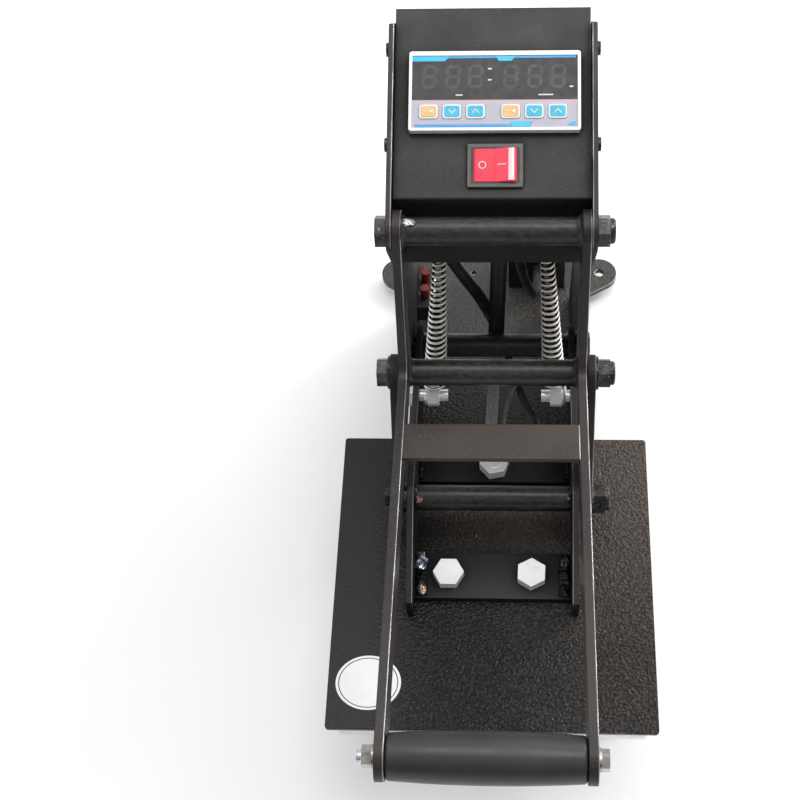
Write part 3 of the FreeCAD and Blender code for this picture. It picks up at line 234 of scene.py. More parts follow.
def mixed(factor, first, second):
    """A colour between first and second. Either may be a colour or another node's output."""
    node = add(factor, "Mix")
    node.data_type = "RGBA"
    join(factor, node.inputs["Factor"])
    join(first, node.inputs[6])
    join(second, node.inputs[7])
    return node.outputs[2]


def tint(shader, value, first, second, low=0.35, high=0.65):
    """The base colour drifts from first to second with the value."""
    feed(shader, base_color=mixed(ramp(value, low, high), first, second))


def gloss(shader, value, low, high):
    """The roughness drifts from low to high with the value."""
    feed(shader, roughness=ramp(value, 0.3, 0.7, low, high))


def relief(shader, value, depth, strength=1.0, edge=0.0):
    """Bumps of that depth in metres. edge rounds the piece's edges over that radius for the light."""
    bump = add(shader, "Bump", height=value, distance=depth, strength=strength)
    if edge:
        bevel = add(shader, "Bevel", radius=edge)
        bevel.samples = 6
        feed(bump, normal=bevel.outputs["Normal"])
    feed(shader, normal=bump.outputs["Normal"])


def speckle(near, scale, rarity):
    """Small spots, the fewer the higher the rarity."""
    return ramp(grain(near, scale, 1.0), 0.5 + rarity, 0.53 + rarity)


def edge_wear_and_highlight(near, side):
    """Near 1 along worn stretches of the edges that face right (side 1) or left (side -1), else 0. Keeping
    it to one side paints a highlight on the edges that face the lamp.
    """
    bevel = add(near, "Bevel", radius=worn_and_lit_width)
    bevel.samples = 8
    normal = bevel.outputs["Normal"]
    flatness = dot(normal, add(near, "NewGeometry").outputs["True Normal"])
    wear = ramp(grain(near, 45.0), 0.35, 0.6, 0.4, 1.0)
    on_edge = ramp(flatness, 0.985, 0.88)
    # Painted highlight: only edges facing the given side are brightened
    lit_side = ramp(axes_of(normal)["X"], 0.1 * side, 0.35 * side)
    return worked_out("MULTIPLY", worked_out("MULTIPLY", wear, on_edge), lit_side)


def shelter(near, reach):
    """1 where a face is open to the light and 0 deep between other faces, seen over that reach."""
    node = add(near, "AmbientOcclusion", distance=reach)
    node.samples = 8
    return ramp(node.outputs["AO"], 0.4, 0.9)


def blend_value(factor, first, second):
    """A number between first and second. Either may be a number or another node's output."""
    return ramp(factor, 0.0, 1.0, first, second)


# The materials

def powder_black(name, pale, shade_in_corners=False, side=1):
    """Fine-textured satin powder coat, rubbed bright along its edges with a painted highlight on those
    facing one side, and, if asked, painted darker and duller in deep corners as shade.
    """
    material, shader = start(name, pale, 0.45, specular_ior_level=0.4)
    drift = ramp(grain(shader, 14.0, 4.0), 0.35, 0.65)
    color = mixed(drift, tuple(0.45 * part for part in pale), pale)
    dust = speckle(shader, 1100.0, 0.12)
    color = mixed(dust, color, tuple(1.25 * part for part in pale))
    rough = ramp(grain(shader, 60.0, 4.0), 0.3, 0.7, 0.38, 0.48)
    # Worn edges, limited to one side, which also paints a highlight there
    worn = edge_wear_and_highlight(shader, side)
    color = mixed(worn, color, bare_metal_and_highlight)
    rough = blend_value(worn, rough, 0.3)
    # Painted shade: deep corners darkened towards near black and dulled
    if shade_in_corners:
        open_air = shelter(shader, 0.11)
        color = mixed(open_air, (0.002, 0.004, 0.004), color)
        rough = blend_value(open_air, 0.85, rough)
    feed(shader, base_color=color, roughness=rough, metallic=blend_value(worn, 0.0, 0.8))
    relief(shader, grain(shader, 1500.0, 2.0), 0.00014, 0.7, 0.0008)
    return material


def hammered_black():
    """Hammered enamel with close round dents. Painted light makes it browner and paler at the back right,
    the left is painted flat and unlit, and the dents carry painted shade with painted highlights on their
    tops.
    """
    material, shader = start("hammered_black", (0.02, 0.02, 0.02), 0.32, specular_ior_level=0.23)
    spot = axes_of(place_of(shader))
    # Painted light: paler towards the back and to the right, where the lamps fall on the cover
    lit_towards_back = ramp(spot["Y"], -0.18, -0.06)
    right = ramp(worked_out("MULTIPLY_ADD", lit_towards_back, 0.07, spot["X"]), -0.02, 0.08)
    # Painted shade: the left part gets one flat unlit colour
    left = ramp(spot["X"], -0.05, -0.08)
    dents = grain(shader, 560.0, 1.0, 0.3)
    # Painted shade in the dents and painted highlight on their tops
    depth = ramp(dents, 0.40, 0.60)
    low_brown = mixed(lit_towards_back, (0.012, 0.010, 0.009), (0.056, 0.045, 0.038))
    high_brown = mixed(lit_towards_back, (0.036, 0.031, 0.026), (0.098, 0.080, 0.069))
    dark = mixed(right, (0.001, 0.001, 0.001), low_brown)
    pale = mixed(right, (0.008, 0.008, 0.007), high_brown)
    color = mixed(left, mixed(depth, dark, pale), (0.018, 0.018, 0.017))
    rough = blend_value(left, blend_value(depth, 0.40, 0.24), 0.36)
    feed(shader, base_color=color, roughness=rough)
    strength = ramp(spot["X"], -0.08, 0.0, 0.15, 1.0)
    relief(shader, dents, 0.0013, strength, 0.0009)
    return material


def bed_black():
    """Lightly hammered enamel of the base plate, with painted light making it paler towards the back,
    painted shade in its dents, and rubbed bright along its edges with a painted highlight on those facing
    right.
    """
    material, shader = start("bed_black", (0.03, 0.03, 0.03), 0.36, specular_ior_level=0.3)
    # Painted light: paler towards the back, darker in front under the machine
    lit_towards_back = ramp(axes_of(place_of(shader))["Y"], -0.02, 0.10)
    dents = grain(shader, 420.0, 1.0, 0.3)
    # Painted shade in the dents and painted highlight on their tops
    depth = ramp(dents, 0.40, 0.60)
    dark = mixed(lit_towards_back, (0.012, 0.011, 0.010), (0.047, 0.044, 0.040))
    pale = mixed(lit_towards_back, (0.020, 0.018, 0.016), (0.068, 0.062, 0.056))
    worn = edge_wear_and_highlight(shader, 1)
    color = mixed(worn, mixed(depth, dark, pale), bare_metal_and_highlight)
    feed(shader, base_color=color, metallic=blend_value(worn, 0.0, 0.8))
    gloss(shader, depth, 0.28, 0.42)
    relief(shader, dents, 0.0008, 1.0, 0.0009)
    return material


def tube_black():
    """Semi-gloss paint on the tubes, faintly grainy, with painted shade darkening it in deep corners."""
    material, shader = start("tube_black", (0.02, 0.02, 0.02), 0.34, specular_ior_level=0.42)
    speck = ramp(grain(shader, 500.0, stretch=(0.5, 1, 1)), 0.35, 0.65)
    color = mixed(speck, (0.019, 0.017, 0.016), (0.046, 0.040, 0.036))
    # Painted shade: colour darkened towards near black in deep corners
    feed(shader, base_color=mixed(shelter(shader, 0.05), (0.004, 0.006, 0.006), color))
    gloss(shader, grain(shader, 90.0, stretch=(0.2, 1, 1)), 0.3, 0.42)
    relief(shader, grain(shader, 900.0, 2.0, stretch=(0.3, 1, 1)), 0.0001, 0.4, 0.0006)
    return material


def fastener_black():
    """Blackened bolts and nuts, shinier than the sheet metal."""
    material, shader = start("fastener_black", (0.05, 0.05, 0.055), 0.28, 0.6)
    smear = ramp(grain(shader, 160.0, 4.0), 0.35, 0.65)
    color = mixed(smear, (0.014, 0.017, 0.019), (0.062, 0.058, 0.054))
    speck = speckle(shader, 500.0, 0.16)
    feed(shader, base_color=mixed(speck, color, (0.14, 0.13, 0.13)))
    gloss(shader, grain(shader, 200.0), 0.24, 0.38)
    relief(shader, grain(shader, 700.0, 2.0), 0.00006, 0.4, 0.0008)
    return material


def zinc():
    """Bright zinc plate, cloudy, with a faint painted glow that keeps it white in the shade."""
    # Painted glow: a faint emission, though zinc gives no light
    material, shader = start("zinc", (0.97, 0.97, 0.96), 0.28, 0.65,
                             emission_color=(1.0, 1.0, 0.98), emission_strength=0.09)
    tint(shader, grain(shader, 240.0, 4.0), (1.0, 1.0, 0.99), (0.95, 0.94, 0.90), 0.6, 0.9)
    gloss(shader, grain(shader, 120.0), 0.2, 0.3)
    relief(shader, grain(shader, 900.0, 2.0), 0.000004, 0.2, 0.0003)
    return material


def spring_steel():
    """Plated wire, bright outside the coil and painted dark inside it as shade. The map's first value tells
    which.
    """
    material, shader = start("spring_steel", (0.8, 0.78, 0.75), 0.4, 0.5)
    # Painted shade: the wire's side facing into the coil is made near black and rough
    outside = ramp(axes_of(add(shader, "TexCoord").outputs["UV"])["X"], 0.55, 0.75)
    stain = ramp(grain(shader, 220.0), 0.45, 0.8)
    bright = mixed(stain, (0.96, 0.93, 0.87), (0.60, 0.52, 0.40))
    color = mixed(outside, (0.012, 0.010, 0.008), bright)
    feed(shader, base_color=color, roughness=blend_value(outside, 0.8, 0.38))
    relief(shader, grain(shader, 2500.0, 2.0), 0.00002, 0.3)
    return material


def aluminium():
    """Milled aluminium plate."""
    material, shader = start("aluminium", (0.70, 0.70, 0.71), 0.38, 1.0)
    lines = grain(shader, 900.0, stretch=(0.03, 1, 1))
    tint(shader, lines, (0.74, 0.74, 0.75), (0.60, 0.60, 0.61))
    gloss(shader, lines, 0.3, 0.48)
    relief(shader, lines, 0.00005, 0.5, 0.0006)
    return material


def steel_tube():
    """Bare steel, drawn and a little stained."""
    material, shader = start("steel_tube", (0.52, 0.51, 0.49), 0.36, 1.0)
    tint(shader, grain(shader, 120.0, 4.0), (0.58, 0.56, 0.52), (0.30, 0.28, 0.24))
    gloss(shader, grain(shader, 300.0), 0.24, 0.38)
    relief(shader, grain(shader, 900.0), 0.00005, 0.5)
    return material


def mica():
    """Insulation board, layered at its edge."""
    material, shader = start("mica", (0.66, 0.62, 0.52), 0.8)
    layers = grain(shader, 300.0, 4.0, stretch=(0.1, 0.1, 6))
    tint(shader, layers, (0.70, 0.66, 0.55), (0.52, 0.47, 0.38))
    relief(shader, layers, 0.0003, 0.5)
    return material


def rubber(name, color, other):
    """Moulded rubber, slightly dusty."""
    material, shader = start(name, color, 0.7)
    tint(shader, grain(shader, 80.0, 4.0), color, other)
    gloss(shader, grain(shader, 200.0), 0.6, 0.8)
    relief(shader, grain(shader, 1200.0), 0.0001, 0.5, 0.0008)
    return material


def grip_rubber():
    """The grip's rubber: fine lines round it, pale where hands have worn it."""
    material, shader = start("grip_black", (0.03, 0.03, 0.028), 0.42)
    tint(shader, grain(shader, 25.0), (0.024, 0.023, 0.022), (0.040, 0.036, 0.033))
    gloss(shader, grain(shader, 60.0), 0.34, 0.46)
    relief(shader, grain(shader, 700.0, 2.0, stretch=(1, 0.12, 0.12)), 0.00012, 0.4, 0.0008)
    return material


def sponge():
    """Silicone sponge with open pores."""
    material, shader = start("silicone_sponge", (0.55, 0.14, 0.08), 0.75)
    tint(shader, grain(shader, 40.0, 4.0), (0.58, 0.16, 0.09), (0.47, 0.11, 0.06))
    pores = add(shader, "TexVoronoi", vector=place_of(shader), scale=900.0)
    relief(shader, pores.outputs["Distance"], 0.0004, 0.5)
    return material


def plastic(name, color, roughness, other=None, coat=0.0):
    """Moulded plastic with a fine skin."""
    material, shader = start(name, color, roughness, coat_weight=coat, coat_roughness=0.15)
    other = other or tuple(part * 0.86 for part in color)
    tint(shader, grain(shader, 120.0), color, other)
    gloss(shader, grain(shader, 260.0), roughness * 0.85, roughness * 1.15)
    relief(shader, grain(shader, 1800.0, 2.0), 0.00004, 0.4, 0.0004)
    return material


def window_smoked():
    """The dark glossy film over the display."""
    material, shader = start("window_smoked", (0.1, 0.1, 0.11), 0.35, specular_ior_level=0.35)
    tint(shader, grain(shader, 30.0), (0.020, 0.022, 0.026), (0.030, 0.030, 0.034))
    gloss(shader, grain(shader, 200.0, 2.0), 0.3, 0.4)
    relief(shader, grain(shader, 1500.0, 2.0), 0.00002, 0.3)
    return material


def sheet_lilac():
    """Printed key sheet, greyish lilac with a pinker upper edge."""
    material, shader = start("sheet_lilac", (0.5, 0.47, 0.56), 0.35)
    fade_starts, fade_ends, sheet_face = 53.2, 55.8, 4.5
    low = panel_point(0, fade_starts, sheet_face).z
    high = panel_point(0, fade_ends, sheet_face).z
    fade = ramp(axes_of(place_of(shader))["Z"], low, high)
    cloud = grain(shader, 90.0)
    cloudy = mixed(ramp(cloud, 0.3, 0.7), (0.48, 0.48, 0.56), (0.56, 0.50, 0.60))
    feed(shader, base_color=mixed(fade, cloudy, (0.72, 0.52, 0.55)))
    relief(shader, grain(shader, 1500.0, 2.0), 0.00003, 0.3)
    return material


def rocker_red():
    """Translucent red plastic with a painted glow, painted deeper red on its left half as shade to even out
    the light on its two tilted faces.
    """
    # Painted glow: an even emission all over the rocker
    material, shader = start("rocker_red", (0.85, 0.1, 0.16), 0.4, specular_ior_level=0.3,
                             subsurface_weight=0.25, subsurface_radius=(0.004, 0.0008, 0.0008),
                             emission_color=(0.9, 0.06, 0.10), emission_strength=0.25)
    # Painted shade: the left half deeper, the right half paler
    half = ramp(axes_of(place_of(shader))["X"], 0.0012, 0.0024)
    cloud = ramp(grain(shader, 100.0, 2.0), 0.35, 0.65)
    left = mixed(cloud, (0.74, 0.050, 0.085), (0.68, 0.042, 0.070))
    right = mixed(cloud, (0.88, 0.082, 0.135), (0.82, 0.070, 0.115))
    feed(shader, base_color=mixed(half, left, right))
    gloss(shader, grain(shader, 300.0, 2.0), 0.34, 0.46)
    relief(shader, grain(shader, 1500.0, 2.0), 0.00002, 0.25, 0.0006)
    return material


def braid():
    """Glass-fibre sleeve, plaited in two directions round the lead."""
    material, shader = start("braid_grey", (0.3, 0.3, 0.3), 0.75)
    strands_round, turns_along = 14, 3000.0
    wrap = axes_of(add(shader, "TexCoord").outputs["UV"])
    around = worked_out("MULTIPLY", wrap["X"], 2 * math.pi * strands_round)
    waves = []
    for way in (1, -1):
        lean = worked_out("MULTIPLY_ADD", wrap["Y"], way * turns_along, around)
        waves.append(worked_out("SINE", lean))
    weave = worked_out("MAXIMUM", *waves)
    tint(shader, weave, (0.12, 0.12, 0.12), (0.52, 0.52, 0.51), -0.3, 0.95)
    relief(shader, weave, 0.0002, 0.6)
    return material


def weld_metal(name, bright, dark, roughness):
    """A weld bead: lumpy metal, cloudy between a bright and a dark colour."""
    material, shader = start(name, bright, roughness, 0.8)
    tint(shader, grain(shader, 260.0, 4.0), bright, dark, 0.4, 0.6)
    gloss(shader, grain(shader, 400.0), roughness * 0.7, roughness * 1.4)
    relief(shader, grain(shader, 450.0), 0.0003, 0.6)
    return material


def sticker_white():
    """White foil, a little wavy over the dents under it."""
    material, shader = start("sticker_white", (0.94, 0.94, 0.93), 0.4)
    tint(shader, grain(shader, 60.0), (0.97, 0.97, 0.96), (0.90, 0.90, 0.88))
    relief(shader, grain(shader, 430.0, 1.5, 0.5), 0.0002, 0.4)
    return material


def all_materials():
    """Every look by its short name."""
    return {
        "powder": powder_black("powder_black", (0.036, 0.029, 0.025)),
        # Paler copy of the powder coat for the upward-facing bridge strap: painted light
        "brown_lit": powder_black("powder_brown", (0.058, 0.046, 0.039)),
        # Powder coats with painted shade in their deep corners
        "shade_in_corners": powder_black("powder_sheltered", (0.031, 0.027, 0.024), True),
        "sooty_right": powder_black("powder_sheltered_right", (0.033, 0.028, 0.025), True, -1),
        "hammered": hammered_black(),
        "bed": bed_black(),
        "tube": tube_black(),
        "fastener": fastener_black(),
        "zinc": zinc(),
        "spring": spring_steel(),
        "aluminium": aluminium(),
        "steel": steel_tube(),
        "mica": mica(),
        "rubber": rubber("rubber_black", (0.022, 0.022, 0.022), (0.045, 0.043, 0.04)),
        "grip": grip_rubber(),
        "cable": plastic("cable_black", (0.02, 0.02, 0.022), 0.4, (0.04, 0.04, 0.04)),
        "lead": plastic("lead_light", (0.22, 0.22, 0.21), 0.5),
        "sponge": sponge(),
        "bezel": plastic("bezel_white", (0.95, 0.96, 0.97), 0.3, (0.90, 0.92, 0.94), 0.3),
        "case": plastic("case_black", (0.03, 0.03, 0.03), 0.5, (0.05, 0.05, 0.05)),
        "window": window_smoked(),
        "sheet": sheet_lilac(),
        "key": plastic("key_white", (0.80, 0.88, 0.92), 0.35, (0.74, 0.82, 0.88)),
        "orange": plastic("key_orange", (0.92, 0.50, 0.14), 0.4, (0.95, 0.58, 0.24)),
        "blue": plastic("key_blue", (0.03, 0.50, 0.72), 0.4, (0.07, 0.58, 0.80)),
        "stripe": plastic("stripe_blue", (0.04, 0.36, 0.76), 0.4, (0.06, 0.42, 0.82)),
        "cyan": plastic("stripe_cyan", (0.02, 0.54, 0.84), 0.4, (0.06, 0.60, 0.88)),
        "digit": plastic("digit_dim", (0.044, 0.032, 0.031), 0.38, (0.056, 0.040, 0.038)),
        "mark": plastic("mark_white", (0.9, 0.9, 0.9), 0.4, (0.82, 0.82, 0.82)),
        "switch": plastic("switch_grey", (0.075, 0.08, 0.075), 0.38, (0.09, 0.09, 0.085)),
        "rocker": rocker_red(),
        # Pale strip painted as the highlight on the rocker's raised end
        "crest": plastic("rocker_crest_pale", (0.98, 0.80, 0.82), 0.2, (0.98, 0.88, 0.88), 0.4),
        "relay": plastic("relay_grey", (0.12, 0.12, 0.125), 0.5),
        "crimp": plastic("crimp_red", (0.36, 0.035, 0.02), 0.4, (0.26, 0.03, 0.02)),
        "braid": braid(),
        "weld": weld_metal("weld_grey", (0.22, 0.22, 0.23), (0.03, 0.03, 0.03), 0.35),
        "copper": weld_metal("weld_copper", (0.75, 0.48, 0.36), (0.12, 0.08, 0.07), 0.32),
        # Pale weld metal whose brightness paints highlights on the welds
        "silver_highlight": weld_metal("weld_bright", (0.90, 0.94, 1.0), (0.10, 0.12, 0.18), 0.22),
        "glint": weld_metal("weld_glint", (0.86, 0.84, 0.88), (0.16, 0.15, 0.18), 0.3),
        "painted": weld_metal("weld_painted", (0.02, 0.024, 0.026), (0.008, 0.009, 0.010), 0.3),
        "sticker": sticker_white(),
    }


finish_of = {
    "powder": "rear_cover inlet_box pedestal handle_plate_left handle_plate_right",
    "bed": "base_plate",
    "brown_lit": "bridge_strap",
    # Parts whose powder is painted darker in deep corners as shade
    "shade_in_corners": "frame_plate_left control_box_shell arm_plate_left front_strap rear_strap link_left link_right",
    "sooty_right": "frame_plate_right arm_plate_right",
    "hammered": "platen_cover",
    "tube": "arm_tube_rear arm_tube_front handle_tube_top handle_tube_knee",
    "fastener": "small_screws frame_pivot_bolts link_bolts link_shaft spring_rod",
    "zinc": "platen_bolts stud_and_nut spring_bolts",
    "aluminium": "lower_platen heater_plate",
    "steel": "heating_element grip_rod",
    "mica": "insulation_board",
    "rubber": "rubber_feet cable_grommets",
    "grip": "grip",
    "bezel": "controller_bezel",
    "case": "controller_case mains_inlet terminal_block",
    "window": "display_window",
    "sheet": "key_sheet",
    "key": "key_1 key_2 key_3 key_4 key_5 key_6",
    "switch": "switch_housing",
    "rocker": "switch_rocker",
    "relay": "relay",
    "crimp": "crimp_terminals",
}


def dress_nodes():
    """Gives every CAD node that stays its finish."""
    for finish, names in finish_of.items():
        for name in names.split():
            data = nodes[name].data
            data.materials.clear()
            data.materials.append(looks[finish])


# Places that the CAD gives

panel_slope = math.radians(22)
panel_foot_y = 3.0
panel_foot_z = 311.3
spring_bolt = (0, -15.0, 130.3)
both_sides = ((-1, "left"), (1, "right"))


def panel_point(x, v, w):
    """A point on the sloped panel: x across, v up the panel, w out of it, in millimetres."""
    y = panel_foot_y + v * math.cos(panel_slope) - w * math.sin(panel_slope)
    z = panel_foot_z + v * math.sin(panel_slope) + w * math.cos(panel_slope)
    return Vector((x, y, z)) * mm


# Building blocks of the pieces

def piece(name, shape, look, body, smooth=True):
    """Turns a bmesh drawn in the row frame into a piece that rides on a body."""
    bmesh.ops.recalc_face_normals(shape, faces=shape.faces)
    data = bpy.data.meshes.new(name)
    shape.to_mesh(data)
    shape.free()
    data.materials.append(looks[look])
    for polygon in data.polygons:
        polygon.use_smooth = smooth
    made = bpy.data.objects.new(name, data)
    show(made)
    if body:
        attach(made, body)
    return made


def skin(name, rings, look, body, closed_ring=True, caps=True, smooth=True):
    """A piece of faces between rings of points, with a cap at each end if asked."""
    shape = bmesh.new()
    made = [[shape.verts.new(p) for p in ring] for ring in rings]
    count = len(rings[0])
    last = count if closed_ring else count - 1
    for low, high in zip(made, made[1:]):
        for i in range(last):
            j = (i + 1) % count
            shape.faces.new((low[i], low[j], high[j], high[i]))
    if caps:
        shape.faces.new(made[0][::-1])
        shape.faces.new(made[-1])
    return piece(name, shape, look, body, smooth)


def circle(centre, side, other, radius, sides):
    """Points round a centre, in the plane of two directions at right angles."""
    turns = [2 * math.pi * k / sides for k in range(sides)]
    return [centre + (side * math.cos(turn) + other * math.sin(turn)) * radius for turn in turns]


def tube(name, points, radius, look, body, sides):
    """A round piece carried along a line without twist. radius is a number or a function of the index."""
    rings = []
    heading = (points[1] - points[0]).normalized()
    side = heading.orthogonal().normalized()
    for i, point in enumerate(points):
        before = points[max(i - 1, 0)]
        after = points[min(i + 1, len(points) - 1)]
        new_heading = (after - before).normalized()
        side.rotate(heading.rotation_difference(new_heading))
        heading = new_heading
        around = radius(i) if callable(radius) else radius
        rings.append(circle(point, side, heading.cross(side), around, sides))
    return skin(name, rings, look, body)


def bend(first, leave, last, arrive, steps=8):
    """Points of a smooth bend, without its first point, from two places and the headings there."""
    line = []
    for k in range(1, steps + 1):
        t = k / steps
        spot = first * (2 * t ** 3 - 3 * t ** 2 + 1) + leave * (t ** 3 - 2 * t ** 2 + t)
        spot += last * (3 * t ** 2 - 2 * t ** 3) + arrive * (t ** 3 - t ** 2)
        line.append(spot)
    return line


def lathe(name, profile, centre, axis, sides, look, body):
    """Revolves (along, radius) pairs, in metres, round an axis through the centre."""
    axis = Vector(axis).normalized()
    side = axis.orthogonal().normalized()
    other = axis.cross(side)
    rings = [circle(centre + axis * along, side, other, radius, sides) for along, radius in profile]
    skin(name, rings, look, body, caps=False)


def slab(name, outline, normal, depth, look, body, rounding=0.0):
    """A thin piece from an outline of points in one plane, grown from there along the normal."""
    shape = bmesh.new()
    face = shape.faces.new([shape.verts.new(p) for p in outline])
    grown = bmesh.ops.extrude_face_region(shape, geom=[face])
    top = [v for v in grown["geom"] if isinstance(v, bmesh.types.BMVert)]
    bmesh.ops.translate(shape, verts=top, vec=normal * depth)
    if rounding:
        upper = [e for e in shape.edges if e.verts[0] in top and e.verts[1] in top]
        bmesh.ops.bevel(shape, geom=upper, offset=rounding, segments=2, affect="EDGES", profile=0.5)
    piece(name, shape, look, body, smooth=False)


def rounded_corners(x0, x1, y0, y1, radius, steps=4):
    """Outline of a rectangle with round corners, anticlockwise, as (x, y) in the unit of its arguments."""
    points = []
    corners = ((x1, y1, 0), (x0, y1, 90), (x0, y0, 180), (x1, y0, 270))
    for x, y, first in corners:
        cx = x - radius if x == x1 else x + radius
        cy = y - radius if y == y1 else y + radius
        for k in range(steps + 1):
            turn = math.radians(first + 90 * k / steps)
            points.append((cx + radius * math.cos(turn), cy + radius * math.sin(turn)))
    return points


def print_on_panel(name, outline, w, look, body="stand", depth=0.08, rounding=0.0):
    """A printed or raised patch on the panel, from (x, v) points in millimetres."""
    points = [panel_point(x, v, w) for x, v in outline]
    normal = (panel_point(0, 0, 1) - panel_point(0, 0, 0)).normalized()
    slab(name, points, normal, depth * mm, look, body, rounding * mm)


# Springs

rod = Vector((0, 17.0, 265.3)) * mm
bolt = Vector(spring_bolt) * mm
spring_down = (bolt - rod).normalized()
coil_first = 12.0 * mm
coil_last = (bolt - rod).length - 11.0 * mm


def coil_offset(side, share):
    """How far to the right the coil's own axis is, at that share of the coil's length."""
    return side * (31.5 + 7.1 * share) * mm


def spring_points(side):
    """The wire's line: hook round the rod, close coils that widen downwards, hook round the bolt."""
    across = spring_down.cross(Vector((side, 0, 0)))
    coils, steps = 26, 24
    ring = 5.3 * mm
    reach = 6.0 * mm
    tail = 2.0 * mm

    def spot(x, s, t):
        return rod + Vector((x, 0, 0)) + across * s + spring_down * t

    def on_coil(k):
        share = k / (coils * steps)
        turn = 2 * math.pi * k / steps
        radius = (3.2 + 3.6 * share) * mm
        x = coil_offset(side, share) + side * radius * math.cos(turn)
        return spot(x, radius * math.sin(turn), coil_first + (coil_last - coil_first) * share)

    def hook(end, before, centre, way):
        """From the coil's end to the bar and half round it, with room there for when the spring shortens."""
        knee = (end - rod).dot(spring_down) + way * ring
        leave = (end - before).normalized() * ring
        line = bend(end, leave, spot(end.x, way * ring, knee), spring_down * way * ring)
        for k in range(13):
            turn = math.pi * k / 12
            line.append(spot(end.x, way * ring * math.cos(turn), centre + way * reach * math.sin(turn)))
        line.append(spot(end.x, -way * ring, centre - way * tail))
        return line

    coil = [on_coil(k) for k in range(coils * steps + 1)]
    upper = hook(coil[0], coil[1], 0.0, -1)
    lower = hook(coil[-1], coil[-2], (bolt - rod).length, 1)
    return upper[::-1] + coil + lower


def map_coil(wire, points, side, sides):
    """Stores on the wire how far each spot faces out of the coil: 0 inwards, 1 outwards or on a hook."""
    layer = wire.data.uv_layers.new(name="facing")
    facing = []
    for index, vertex in enumerate(wire.data.vertices):
        centre = points[index // sides]
        along = (centre - rod).dot(spring_down)
        share = (along - coil_first) / (coil_last - coil_first)
        if not 0 <= share <= 1:
            facing.append(1.0)
            continue
        coil_axis = rod + spring_down * along + Vector((coil_offset(side, share), 0, 0))
        outwards = (centre - coil_axis).normalized()
        facing.append(0.5 + 0.5 * (vertex.co - centre).normalized().dot(outwards))
    for loop in wire.data.loops:
        layer.data[loop.index].uv = (facing[loop.vertex_index], 0.5)


def make_springs():
    """Both return springs, on the springs body."""
    sides = 10
    for side, name in both_sides:
        points = spring_points(side)
        wire = tube("spring_wire_" + name, points, 1.0 * mm, "spring", "springs", sides)
        map_coil(wire, points, side, sides)
        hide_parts("spring_" + name)
        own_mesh(wire)


# Leads

lead_sides = 20
heater_route = [
    (3.0, 42.0, 260.0), (3.0, 42.0, 228.0), (2.6, 50.0, 186.0), (1.6, 55.0, 152.0), (0.6, 52.0, 119.0),
    (-0.6, 34.0, 94.0), (-2.0, 6.0, 86.0), (-3.0, -16.0, 85.3), (-3.0, -35.7, 85.3),
]
power_route = [
    (13.0, 56.0, 260.0), (13.0, 56.0, 228.0), (14.0, 67.0, 192.0), (15.5, 82.0, 155.0), (18.0, 97.0, 113.0),
    (22.0, 111.0, 77.0), (27.0, 124.0, 47.0), (30.0, 142.0, 32.5), (30.0, 160.5, 32.5),
]
earth_route = [
    (-35.0, 46.0, 260.0), (-35.0, 46.0, 228.0), (-31.0, 55.0, 192.0), (-22.0, 61.0, 160.0),
    (-10.0, 63.0, 130.0), (2.0, 55.0, 104.0), (10.5, 34.0, 91.0), (19.0, 6.0, 87.0),
    (31.0, -14.0, 85.3), (31.0, -35.7, 85.3),
]
sensor_route = [
    (24.0, 46.0, 260.0), (24.0, 46.0, 228.0), (29.0, 55.0, 194.0), (34.0, 59.0, 162.0), (36.0, 58.0, 132.0),
    (33.0, 47.0, 106.0), (24.0, 27.0, 94.5), (10.0, 12.0, 94.0), (5.0, -12.0, 87.6), (5.0, -35.7, 87.6),
]


def route_line(name, route):
    """Points read from the route's own smooth spline."""
    curve = bpy.data.curves.new(name, "CURVE")
    curve.dimensions = "3D"
    curve.resolution_u = 16
    spline = curve.splines.new("NURBS")
    spline.points.add(len(route) - 1)
    for point, place in zip(spline.points, route):
        point.co = (*(Vector(place) * mm), 1.0)
    spline.order_u = 3
    spline.use_endpoint_u = True
    holder = bpy.data.objects.new(name, curve)
    show(holder)
    bpy.context.view_layer.update()
    data = bpy.data.meshes.new_from_object(holder.evaluated_get(bpy.context.evaluated_depsgraph_get()))
    points = [vertex.co.copy() for vertex in data.vertices]
    bpy.data.meshes.remove(data)
    bpy.data.objects.remove(holder)
    return points


def wrap_map(made, points):
    """Lays a map on a lead: once round it across, and metres along it upwards."""
    along = [0.0]
    for a, b in zip(points, points[1:]):
        along.append(along[-1] + (b - a).length)
    layer = made.data.uv_layers.new(name="wrap")
    for polygon in made.data.polygons:
        turns = [made.data.loops[i].vertex_index % lead_sides for i in polygon.loop_indices]
        wraps = len(turns) == 4 and max(turns) == lead_sides - 1 and min(turns) == 0
        for i, turn in zip(polygon.loop_indices, turns):
            ring = made.data.loops[i].vertex_index // lead_sides
            if wraps and turn == 0:
                turn = lead_sides
            layer.data[i].uv = (turn / lead_sides, along[ring])


def make_lead(name, route, radius, look, moves, sleeve=0.0):
    """One lead along its route. Where its far end rides on the arm, it is left on no body with its placement
    baked into its points.
    """
    points = route_line(name, route)
    made = tube(name + "_cable", points, radius * mm, look, None if moves else "stand", lead_sides)
    wrap_map(made, points)
    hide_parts(name)
    extras = [make_sleeve(name, points, sleeve)] if sleeve else []
    if moves:
        for part in [made] + extras:
            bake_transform(part)


def make_sleeve(name, points, radius):
    """A black rubber sleeve over a lead, from under the box to above the platen."""
    lowest, highest, lip = 0.104, 0.249, 0.6
    inside = [p for p in points if lowest < p.z < highest]
    last = len(inside) - 1

    def swell(i):
        return (radius - lip if i in (0, last) else radius) * mm

    made = tube(name + "_sleeve", inside, swell, "cable", None, lead_sides)
    return made


